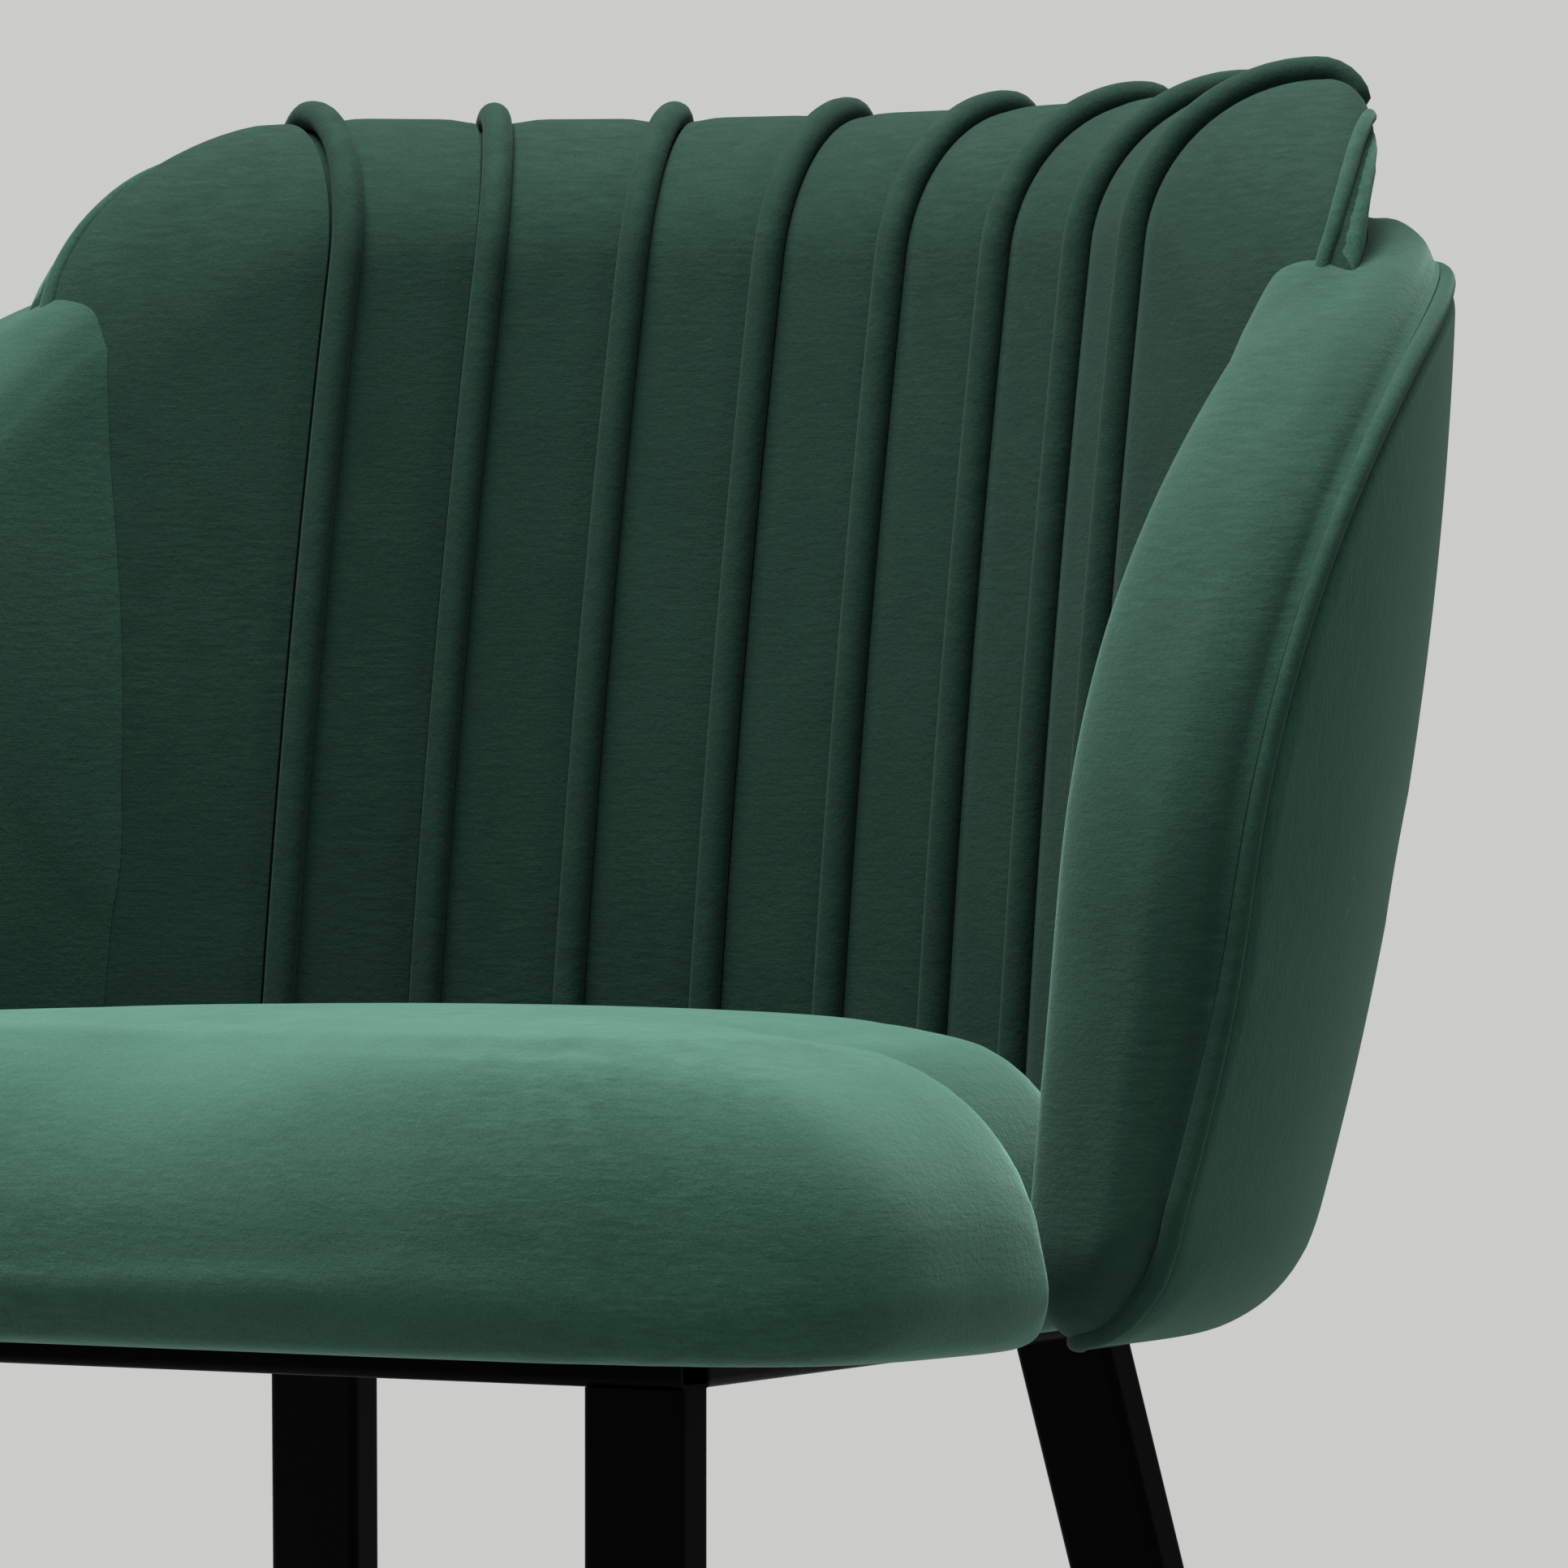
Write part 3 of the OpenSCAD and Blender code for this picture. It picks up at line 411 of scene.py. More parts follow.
def corner_box(name, low, high):
    """Plain block used as a cutter, by its lowest and highest corners."""
    (x0, y0, z0), (x1, y1, z1) = low, high
    points = [(x, y, z) for x in (x0, x1) for y in (y0, y1) for z in (z0, z1)]
    faces = [(0, 1, 3, 2), (4, 6, 7, 5), (0, 4, 5, 1), (2, 3, 7, 6), (0, 2, 6, 4), (1, 5, 7, 3)]
    return mesh_object(name, world(points), faces)


def node_box(name, node, margin):
    """Block round a node of the frame."""
    low, high = (np.array(corner) / MM - PART_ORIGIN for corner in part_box(node))
    return corner_box(name, low - margin, high + margin)


def mesh_now(obj):
    """Mesh of an object with its modifiers applied."""
    graph = bpy.context.evaluated_depsgraph_get()
    return bpy.data.meshes.new_from_object(obj.evaluated_get(graph), depsgraph=graph)


def applied(obj):
    """The same object with its modifiers applied."""
    mesh = mesh_now(obj)
    obj.modifiers.clear()
    obj.data = mesh
    return obj


def cut(obj, cutter):
    """Takes a hidden shape out of a piece."""
    modifier = obj.modifiers.new("cut", "BOOLEAN")
    modifier.operation = "DIFFERENCE"
    modifier.solver = "EXACT"
    modifier.object = cutter
    applied(obj)
    bpy.data.objects.remove(cutter)


def joined(name, pieces):
    """One object of several, in place."""
    work = bmesh.new()
    for piece in pieces:
        work.from_mesh(piece.data)
        bpy.data.objects.remove(piece)
    mesh = bpy.data.meshes.new(name)
    work.to_mesh(mesh)
    work.free()
    return shaded(linked(name, mesh), 60)


# Curves of the chair


def lean(z):
    """Backward shift of both shells at height z."""
    h = np.asarray(z, float) - SEAT_LINE
    return math.tan(math.radians(RECLINE)) * h + np.where(h > 0, h * h / (2 * BOW_R), 0)


def circle_reach(a, off, r):
    return off * cosd(a) + np.sqrt(r * r - (off * sind(a)) ** 2)


def oval_reach(a, wide, deep, n):
    return 1 / ((np.abs(sind(a)) / wide) ** n + (np.abs(cosd(a)) / deep) ** n) ** (1 / n)


def seat_reach(a, half=SEAT_HALF):
    """Distance of the seat's edge from the middle of its widest line, by angle from the rear."""
    b = np.abs(a)
    back = circle_reach(b, BACK_AXIS_Y + lean(SEAT_BELLY) - SEAT_WIDEST, SEAT_BACK_R)
    wing = circle_reach(b, SHELL_Y + lean(SEAT_BELLY) - SEAT_WIDEST, SEAT_WING_R)
    side = oval_reach(b, half, SEAT_SIDE_SEMI, 2)
    rear = mix(mix(back, wing, ramp(b, *SEAT_TURN)), side, ramp(b, *SEAT_SIDE))
    front = oval_reach(b, half, SEAT_WIDEST + SEAT_FRONT, SEAT_SQUARE)
    return np.where(b < 90, rear, front)


def end_part(a):
    """Share of the way from the last piping to the end of the inner back."""
    return np.clip((np.abs(a) - LAST_PIPING) / (HALF_ANGLE - LAST_PIPING), 0, 1)


def end_angles(count, first=5):
    """Angles over one end of the inner back, evenly spaced round its top corner."""
    share = (END_LEVEL + BACK_CORNER * sind(np.linspace(first, 90, count))) / END_CREST
    return mix(LAST_PIPING, HALF_ANGLE, share)


def all_angles(middle, each_end):
    """Angles from one end of the inner back to the other."""
    ends = end_angles(each_end)
    return np.concatenate([-ends[::-1], np.linspace(-LAST_PIPING, LAST_PIPING, middle), ends])


def corner_reach(a):
    """Distance into the rounded top corner of the inner back."""
    return np.clip(END_CREST * end_part(a) - END_LEVEL, 0, BACK_CORNER)


def roll_turn(a):
    """Direction in plan in which the pad's thickness is measured."""
    inner = ROLL_TURN * np.abs(a)
    outer = mix(ROLL_TURN * LAST_PIPING, END_TURN, end_part(a))
    return np.sign(a) * np.where(np.abs(a) <= LAST_PIPING, inner, outer)


def dropped(a, z):
    """Height of a point of the inner back after its top corner is rounded."""
    s = corner_reach(a)
    drop = BACK_CORNER - np.sqrt(BACK_CORNER**2 - s * s)
    return z - drop * np.clip((z - CORNER_FADE_Z) / (ROLL_START - CORNER_FADE_Z), 0, 1)


def end_keep(a):
    """Share of the pad's thickness that is left where its face turns round at the ends."""
    s = corner_reach(a) / BACK_CORNER
    return mix(END_EDGE / PAD_RHO, 1, np.sqrt(1 - s * s))


def back_point(a, depth, z):
    """Point of the inner back by angle in plan, depth through the pad and height."""
    turn = roll_turn(a)
    h = dropped(a, z)
    depth = np.asarray(depth, float)
    turned_in = PAD_RHO - (PAD_RHO - np.maximum(depth, 0)) * end_keep(a) + np.minimum(depth, 0)
    rho = np.where(depth < PAD_RHO, turned_in, depth)
    thin = np.where(z > TUCK_H, 1, 1 - TUCK * (TUCK_H - z) / (TUCK_H - BACK_BOTTOM))
    behind = np.maximum(0, rho - FACE_DEPTH) * (1 + END_WIDEN * end_part(a)) * thin
    r = np.minimum(rho, FACE_DEPTH) + behind
    x = BACK_R * sind(a) + r * sind(turn)
    y = BACK_AXIS_Y + BACK_R * cosd(a) + r * cosd(turn) + lean(h)
    return rows(x, y, h)


def upright(depth, z):
    """Section of the inner back at one depth, at the heights z."""
    return rows(np.full_like(z, depth), z)


def roll_front_at(b, grow):
    """Section over the front of the inner back's top, by its turn b."""
    return rows(ROLL_FRONT - (ROLL_FRONT + grow) * cosd(b), ROLL_START + (ROLL_H + grow) * sind(b))


def roll_rear_at(b, grow):
    """Section over the rear of the inner back's top, by its turn b."""
    return rows(ROLL_FRONT + (ROLL_REAR + grow) * sind(b), ROLL_END + (ROLL_FALL + grow) * cosd(b))


def seam_turn(a):
    """Turn of the rear roll at which the rear seam lies."""
    knots = np.array(SEAM_CLIMB, float)
    return np.interp(np.abs(a), knots[:, 0], knots[:, 1])


def outward(path, centre_y):
    """Level direction away from an upright axis that leans with the shells."""
    return unit(rows(path[:, 0], path[:, 1] - centre_y - lean(path[:, 2]), 0))


def shell_face(z):
    return SHELL_R - (SHELL_BELLY - z) ** 2 / (2 * SHELL_BULGE_R)


def shell_inner(z):
    rise = np.maximum(0, z - SPINE_Z) / (SHELL_TOP - SPINE_Z)
    return SHELL_INNER_R + WING_DRAW * rise**2


def shell_point(a, z, depth, share):
    """Point of the outer shell by angle, height, depth under its face and share of thickness."""
    face = shell_face(z)
    r = face - depth - share * (face - shell_inner(z))
    return rows(r * sind(a), SHELL_Y + lean(z) + r * cosd(a), z)


def shell_edge(step):
    """Round the shell's edge from one wing over the top and back along the foot.

    Each point is its angle, its height and how far the profile of the foot applies there."""
    top_angle = WING_ANGLE - WING_CORNER
    toe = WING_TOE / SHELL_ARC
    u = np.linspace(90, 0, 60)
    corner = rows(
        top_angle + WING_CORNER * cosd(u) ** (2 / WING_FULLNESS),
        WING_STRAIGHT + (SHELL_TOP - WING_STRAIGHT) * sind(u) ** (2 / WING_FULLNESS),
        0,
    )
    v = np.linspace(90, 0, 24)
    toe_arc = rows(
        WING_ANGLE - toe * (1 - sind(v)), SHELL_BOTTOM + WING_TOE * (1 - cosd(v)), 1 - v / 90
    )
    wing = (WING_ANGLE, (WING_STRAIGHT + SHELL_BOTTOM + WING_TOE) / 2, 0)
    # The share of the foot counts for 60 mm, so that points lie closer where the profile changes
    scale = (SHELL_ARC, 1, 60)
    upper = np.vstack([[(0, SHELL_TOP, 0)], corner, [wing]])
    lower = np.vstack([[(0, SHELL_BOTTOM, 1)], toe_arc[::-1], [wing]])
    upper, lower = (even_path(half * scale, step) / scale for half in (upper, lower))
    lower = curve_resampled(lower, len(upper) - 2)
    mirror = (-1, 1, 1)
    return np.vstack([upper[::-1] * mirror, upper[1:], lower[::-1][1:], lower[1:-1] * mirror])


def shell_at(edge, w, depth, share):
    """Points at distance w in from the shell's edge, or beyond its rim when w is under 0.

    There -w is the share of the way from the rim to the spine, where the skin closes."""
    spine = rows(np.clip(edge[:, 0], -SPINE_HALF, SPINE_HALF), SPINE_Z)
    gap = np.hypot((spine[:, 0] - edge[:, 0]) * SHELL_ARC, spine[:, 1] - edge[:, 1])
    w = np.broadcast_to(np.asarray(w, float), gap.shape)
    t = np.where(w < 0, mix(RIM / gap, SPINE_SHARE, -w), w / gap)
    a, z = mix(edge[:, :2], spine, t[:, None]).T
    return shell_point(a, z, depth, share)


# Materials

# Colour inputs and result of a mix node, which has sockets for other kinds of value too
MIX_LOW, MIX_HIGH, MIX_RESULT = 6, 7, 2


def new_material(name):
    material = bpy.data.materials.new(name)
    material.use_nodes = True
    tree = material.node_tree
    return material, tree, tree.nodes["Principled BSDF"]


def wire(tree, node, inputs):
    """Links or sets a node's inputs."""
    for key, value in inputs.items():
        if isinstance(value, bpy.types.NodeSocket):
            tree.links.new(value, node.inputs[key])
        else:
            node.inputs[key].default_value = value


def add(tree, kind, inputs, **settings):
    node = tree.nodes.new(kind)
    for key, value in settings.items():
        setattr(node, key, value)
    wire(tree, node, inputs)
    return node


def object_space(tree, stretch=(1, 1, 1)):
    coords = add(tree, "ShaderNodeTexCoord", {}).outputs["Object"]
    return add(tree, "ShaderNodeMapping", {"Vector": coords, "Scale": stretch}).outputs[0]


def noise_at(tree, scale, detail, rough, stretch=(1, 1, 1), distortion=0.0):
    """Noise over the piece, by scale per metre."""
    inputs = {
        "Vector": object_space(tree, stretch),
        "Scale": scale,
        "Detail": detail,
        "Roughness": rough,
        "Distortion": distortion,
    }
    return add(tree, "ShaderNodeTexNoise", inputs).outputs["Fac"]


def ranged(tree, value, low, high, out_low, out_high):
    inputs = {
        "Value": value, "From Min": low, "From Max": high, "To Min": out_low, "To Max": out_high,
    }
    return add(tree, "ShaderNodeMapRange", inputs).outputs[0]


def times(tree, a, b):
    return add(tree, "ShaderNodeMath", {0: a, 1: b}, operation="MULTIPLY").outputs[0]


def plus(tree, a, b):
    return add(tree, "ShaderNodeMath", {0: a, 1: b}, operation="ADD").outputs[0]


def two_tone(tree, shader, share, low, high):
    """Base colour between two colours."""
    node = add(tree, "ShaderNodeMix", {"Factor": share}, data_type="RGBA")
    wire(tree, node, {MIX_LOW: (*low, 1), MIX_HIGH: (*high, 1)})
    wire(tree, shader, {"Base Color": node.outputs[MIX_RESULT]})


def bumped(tree, shader, height, strength, distance):
    inputs = {"Height": height, "Strength": strength, "Distance": distance}
    wire(tree, shader, {"Normal": add(tree, "ShaderNodeBump", inputs).outputs[0]})


VELVET_DEEP = (0.0105, 0.036, 0.0245)
VELVET_PALE_SHEEN_AND_TONE = (0.060, 0.150, 0.108)
VELVET_SHEEN = (0.50, 0.86, 0.71, 1)


def velvet(name, painted_lightness, painted_sheen_at_slant, sheen, streak=(1, 1, 6)):
    """Cut-pile velvet: deep colour face on, paled at a slant by a painted sheen, mottled and
    faintly streaked, with both colours scaled down as painted shade.
    """
    material, tree, shader = new_material(name)
    mottle = noise_at(tree, 20, 4, 0.6, distortion=0.4)
    streaks = noise_at(tree, 95, 3, 0.65, streak, 0.35)
    patches = ranged(tree, noise_at(tree, 11, 1, 0.5), 0.35, 0.65, 0.25, 1.0)
    grain = noise_at(tree, 1250, 3, 0.75)
    weave = noise_at(tree, 2600, 1, 0.5)
    pile = noise_at(tree, 420, 2, 0.6)
    patchy_streaks = times(tree, ranged(tree, streaks, 0.3, 0.7, -0.075, 0.075), patches)
    fine_tone = plus(tree, patchy_streaks, ranged(tree, grain, 0.25, 0.75, -0.10, 0.10))
    tone = plus(tree, ranged(tree, mottle, 0.3, 0.7, -0.035, 0.035), fine_tone)
    # Painted sheen: the base colour pales towards the light colour where the surface is seen at a
    # slant, on top of the sheen lobe; mottle, streaks and grain add their own tone.
    slant = add(tree, "ShaderNodeLayerWeight", {"Blend": 0.5}).outputs["Facing"]
    painted_sheen_and_tone = plus(tree, ranged(tree, slant, 0.35, 1.0, 0.07, painted_sheen_at_slant), tone)
    painted_sheen_and_tone = add(tree, "ShaderNodeClamp", {"Value": painted_sheen_and_tone}).outputs[0]
    # Painted shade: both colours are scaled down by the lightness factor, so panels that sit in
    # shade are darker copies of the same velvet.
    deep, light = ([c * painted_lightness for c in colour] for colour in (VELVET_DEEP, VELVET_PALE_SHEEN_AND_TONE))
    two_tone(tree, shader, painted_sheen_and_tone, deep, light)
    wire(tree, shader, {
        "Roughness": 0.9,
        "Specular IOR Level": 0.07,
        "Sheen Weight": sheen,
        "Sheen Roughness": 0.42,
        "Sheen Tint": VELVET_SHEEN,
    })
    height = plus(tree, times(tree, weave, 0.5), plus(tree, pile, times(tree, streaks, 0.8)))
    bumped(tree, shader, height, 0.3, 0.0008)
    return material


def coated_steel(name):
    """Semi-matt black powder coat with its fine orange peel."""
    material, tree, shader = new_material(name)
    two_tone(tree, shader, noise_at(tree, 9, 2, 0.5), (0.0002,) * 3, (0.0006,) * 3)
    peel = noise_at(tree, 900, 2, 0.5)
    gloss = ranged(tree, peel, 0.3, 0.7, 0.40, 0.50)
    wire(tree, shader, {"Roughness": gloss, "Specular IOR Level": 0.02})
    bumped(tree, shader, peel, 0.12, 0.0004)
    return material


def zinc(name):
    """Bright zinc plate with its spangle."""
    material, tree, shader = new_material(name)
    spangle = noise_at(tree, 300, 3, 0.6)
    two_tone(tree, shader, spangle, (0.42, 0.43, 0.44), (0.62, 0.62, 0.60))
    gloss = ranged(tree, spangle, 0.3, 0.7, 0.28, 0.42)
    wire(tree, shader, {"Metallic": 1.0, "Roughness": gloss})
    return material


def moulded_plastic(name):
    """Matt black plastic with a fine grain."""
    material, tree, shader = new_material(name)
    grain = noise_at(tree, 1400, 2, 0.5)
    gloss = ranged(tree, grain, 0.3, 0.7, 0.5, 0.62)
    wire(tree, shader, {"Base Color": (0.012, 0.012, 0.012, 1), "Roughness": gloss})
    bumped(tree, shader, grain, 0.2, 0.0003)
    return material


def plywood(name):
    """Raw plywood with grain along x and its plies stacked along z."""
    material, tree, shader = new_material(name)
    grain = noise_at(tree, 30, 4, 0.6, (1, 14, 14), 0.5)
    inputs = {"Vector": object_space(tree), "Scale": 190, "Distortion": 0.4}
    wave = add(tree, "ShaderNodeTexWave", inputs, wave_type="BANDS", bands_direction="Z")
    tone = plus(tree, times(tree, grain, 0.75), times(tree, wave.outputs["Fac"], 0.25))
    two_tone(tree, shader, tone, (0.30, 0.18, 0.09), (0.58, 0.42, 0.26))
    wire(tree, shader, {"Roughness": 0.68})
    bumped(tree, shader, grain, 0.15, 0.0005)
    return material


def lining_cloth(name):
    """Black non-woven lining with its pressed dots."""
    material, tree, shader = new_material(name)
    fibre = noise_at(tree, 700, 3, 0.7)
    inputs = {"Vector": object_space(tree), "Scale": 420, "Randomness": 0.0}
    dots = add(tree, "ShaderNodeTexVoronoi", inputs).outputs["Distance"]
    two_tone(tree, shader, fibre, (0.006,) * 3, (0.022,) * 3)
    wire(tree, shader, {"Roughness": 0.85})
    bumped(tree, shader, plus(tree, fibre, times(tree, dots, 0.8)), 0.3, 0.0004)
    return material


# Lit and shaded copies of one velvet, as painted shade and painted sheen: darkest on the inner
# back and its pipings, lighter on the shell and its welts, lightest on the outer panels and the
# seat; the painted sheen is strongest on the seat.
VELVET = velvet("velvet_seat", painted_lightness=1.0, painted_sheen_at_slant=0.30, sheen=0.3)
BACK_VELVET = velvet("velvet_back", painted_lightness=0.42, painted_sheen_at_slant=0.05, sheen=0.03)
SHELL_VELVET = velvet("velvet_shell", painted_lightness=0.64, painted_sheen_at_slant=0.16, sheen=0.16)
PANEL_VELVET = velvet("velvet_panel", painted_lightness=0.95, painted_sheen_at_slant=0.18, sheen=0.14, streak=(5, 5, 0.8))
CORD = velvet("velvet_cord", painted_lightness=0.42, painted_sheen_at_slant=0.07, sheen=0.03, streak=(1, 1, 2))
SHELL_CORD = velvet("velvet_shell_cord", painted_lightness=0.66, painted_sheen_at_slant=0.10, sheen=0.1, streak=(1, 1, 2))
STEEL = coated_steel("frame_coat")
ZINC = zinc("zinc_plate")
PLASTIC = moulded_plastic("glide_plastic_skin")
PLY = plywood("birch_ply")
LINING = lining_cloth("black_lining")


# Seat cushion and dust cover


def seat_rings():
    """Rings of the cushion, from its underside over the rolled edge and shoulder to the crown."""
    a = np.linspace(-180, 180, 360, endpoint=False)
    share = mix(SEAT_REAR_SHARE, 1, ramp(np.abs(a), *SEAT_REAR_FADE))
    side = SEAT_RISE - SEAT_BELLY - SEAT_CROWN
    profile = [(SEAT_LIP * inset, SEAT_BELLY - SEAT_LIP, 1) for inset in UNDERSIDE_INSETS]
    for u in np.linspace(0, 90, 10)[:-1]:
        profile.append((SEAT_LIP * (1 - sind(u)) * LIP_INSET, SEAT_BELLY - SEAT_LIP * cosd(u), 1))
    for u in np.linspace(0, 90, 26):
        profile.append((SEAT_SHOULDER * (1 - cosd(u)), SEAT_BELLY + side * sind(u), share))
    found = []
    for inset, z, part in profile:
        r = seat_reach(a) - inset * part
        found.append(rows(r * sind(a), SEAT_WIDEST + r * cosd(a), z))
    edge = found[-1]
    for k in np.linspace(1, 0.02, 16)[1:]:
        z = SEAT_RISE - SEAT_CROWN * k * k
        found.append(rows(edge[:, 0] * k, mix(CROWN_Y, edge[:, 1], k), z))
    return found


def vertex_rows(mesh, key):
    """Places or normals of a mesh's vertices as an array of points."""
    found = np.empty(len(mesh.vertices) * 3)
    mesh.vertices.foreach_get(key, found)
    return found.reshape(-1, 3)


def puffed(obj):
    """The piece remeshed and swollen by air pressure as cloth, with its underside held in place.

    It is shrunk before it swells, and no point ends further than the cap from where it was."""
    name = obj.name
    remesh = obj.modifiers.new("even_mesh", "REMESH")
    remesh.mode = "VOXEL"
    remesh.voxel_size = CLOTH_VOXEL * MM
    mesh = mesh_now(obj)
    bpy.data.objects.remove(obj)
    soft = linked(name, mesh)
    start = vertex_rows(mesh, "co")
    free = smooth((start[:, 2] / MM - RAIL_Z - CLOTH_HELD_UNDER) / CLOTH_HELD_RAMP)
    tight = start - vertex_rows(mesh, "normal") * free[:, None] * CLOTH_SHRINK * MM
    mesh.vertices.foreach_set("co", tight.ravel())
    pins = soft.vertex_groups.new(name="held")
    pins.add([int(i) for i in np.nonzero(free < 0.02)[0]], 1.0, "REPLACE")
    settings = soft.modifiers.new("cloth", "CLOTH").settings
    settings.use_pressure = True
    settings.uniform_pressure_force = CLOTH_PRESSURE
    settings.effector_weights.gravity = 0
    settings.tension_stiffness = settings.compression_stiffness = CLOTH_STIFFNESS
    settings.bending_stiffness = CLOTH_BENDING
    settings.vertex_group_mass = "held"
    for step in range(1, CLOTH_FRAMES + 1):
        bpy.context.scene.frame_set(step)
    graph = bpy.context.evaluated_depsgraph_get()
    moved = vertex_rows(soft.evaluated_get(graph).data, "co") - start
    far = np.linalg.norm(moved, axis=1, keepdims=True)
    moved *= np.minimum(1, CLOTH_CAP * MM / np.maximum(far, 1e-9)) * free[:, None]
    soft.modifiers.clear()
    mesh.vertices.foreach_set("co", (start + moved).ravel())
    mesh.update()
    bpy.context.scene.frame_set(1)
    soft.modifiers.new("finer", "SUBSURF").levels = 1
    return applied(soft)


def board_outline(inset):
    a = np.linspace(-180, 180, 240, endpoint=False)
    r = seat_reach(a, BOARD_HALF) - inset
    return r * sind(a), SEAT_WIDEST + r * cosd(a)


def board_space(low, high, inset):
    """Solid of the seat board's outline, used to open the cushion's underside."""
    x, y = board_outline(inset)
    return skin("board_space", [rows(x, y, low), rows(x, y, high)])


def rail_inside(y):
    """Half the open width of the rail frame."""
    return FRONT_X - WALL - (FRONT_X - REAR_X) * y / FRAME_DEPTH


def cover_sag(x, y):
    """How far the dust cover hangs: free between the rails, held where a tab carries it."""
    clear_y = np.minimum(y - WALL, FRAME_DEPTH - WALL - y)
    sag = COVER_SAG * smooth(np.minimum(rail_inside(y) - np.abs(x), clear_y) / COVER_SAG_RAMP)
    for tab_y in TAB_Y:
        beside = np.maximum(rail_inside(tab_y) - TAB_REACH - np.abs(x), 0)
        along = np.maximum(np.abs(y - tab_y) - TAB_HALF_W, 0)
        sag = sag * smooth(np.hypot(beside, along) / TAB_RAMP)
    return sag


def dust_cover():
    """Lining cloth stapled under the seat board, sagging a little inside the rails."""
    x, y = board_outline(COVER_INSET)
    under, over = COVER_FACES
    shares = np.linspace(1, 0.01, 44)
    rings = []
    for share, lift in [(k, under) for k in shares] + [(k, over) for k in shares[::-1]]:
        u, v = mix(COVER_MIDDLE[0], x, share), mix(COVER_MIDDLE[1], y, share)
        rings.append(rows(u, v, RAIL_H + lift - cover_sag(u, v)))
    return skin("dust_cover_cloth", rings, wrap=True)


def staples():
    """Wire staples that hold the dust cover, in the strip that the rails leave bare."""

    def upwards(path):
        return np.tile((0.01, 0, 1.0), (len(path), 1))

    outline = np.stack(board_outline(COVER_INSET + STAPLE_INSET), axis=1)
    line = even_path(outline, STAPLE_PITCH, closed=True)
    found = []
    for (u, v), (du, dv) in zip(line, headings(line, closed=True)):
        if abs(u) > rail_inside(v) + WALL + STAPLE_CLEAR:
            path = rows(u + du * STAPLE_ALONG, v + dv * STAPLE_ALONG, RAIL_H + STAPLE_RISE)
            found.append(tube("staple", path, STAPLE_R, upwards, sides=8, step=0.8))
    return joined("cover_staples", found)


# Inner back


def channel_dip(a):
    """How far a seam pulls the cover in under a piping, and a channel puffs it out."""
    off = (np.asarray(a, float) + LAST_PIPING) / PIPING_STEP
    inside = np.abs(a) <= LAST_PIPING + 0.01
    near = np.abs(off - np.clip(np.round(off), 0, CHANNELS)) * CHANNEL_W
    seam = sum(deep * (1 - smooth((near - start) / width)) for deep, start, width in SEAM_DIPS)
    puff = CHANNEL_PUFF * np.where(inside, smooth(near / PUFF_RAMP), 0)
    return float(seam), float(puff)


def back_stations():
    """Angles of the pad's sections, close together beside the pipings and round its ends."""
    seams = -LAST_PIPING + PIPING_STEP * np.arange(CHANNELS + 1)
    step = np.array(SEAM_STATIONS) / CHANNEL_W * PIPING_STEP
    inner = np.concatenate([seams[:, None] - step, seams[:, None] + step], axis=1).ravel()
    middles = (seams[:-1] + seams[1:]) / 2
    ends = end_angles(24, first=12)
    return np.unique(np.round(np.concatenate([inner, middles, ends, -ends]), 4))


def back_section(seam, puff, recessed):
    """Section of the inner back, pulled in by a seam and puffed out by a channel."""
    b = np.linspace(0, 90, 20)
    deep = RECESS_RHO if recessed else PAD_RHO
    return np.vstack([
        upright(seam - puff, np.linspace(BACK_BOTTOM, ROLL_START, 42)[:-1]),
        roll_front_at(b, puff * cosd(b) - seam),
        roll_rear_at(np.linspace(0, 90, 12)[1:], -seam * 0.8),
        [(BACK_T - 0.5, RECESS_TOP), (PAD_RHO, RECESS_TOP), (PAD_RHO, POCKET_TOP)],
        [(deep, z) for z in POCKET_FLOOR],
        [(PAD_RHO, POCKET_BOTTOM), (PAD_RHO, BACK_BOTTOM)],
    ])


def inner_back():
    rings = []
    for a in back_stations():
        section = back_section(*channel_dip(a), recessed=abs(a) < LAST_PIPING + 2)
        rings.append(back_point(a, *section.T))
    return skin("back_velvet", rings)


def piping(number):
    """Velvet over cord up one seam and over the roll, numbered from the sitter's right."""
    a = -LAST_PIPING + (number - 1) * PIPING_STEP
    section = np.vstack([
        upright(-PIPING_PROUD, np.linspace(BACK_BOTTOM + 2, ROLL_START, 30)[:-1]),
        roll_front_at(np.linspace(0, 90, 18), PIPING_PROUD),
        roll_rear_at(np.linspace(0, 76, 10)[1:], PIPING_PROUD),
    ])
    turn = float(roll_turn(a))
    across = np.array([float(cosd(turn)), -float(sind(turn)), 0.0])

    def away(path):
        return np.cross(np.gradient(path, axis=0), across)

    return tube(f"piping_{number}", back_point(a, *section.T), PIPING_R, away, step=3.0)


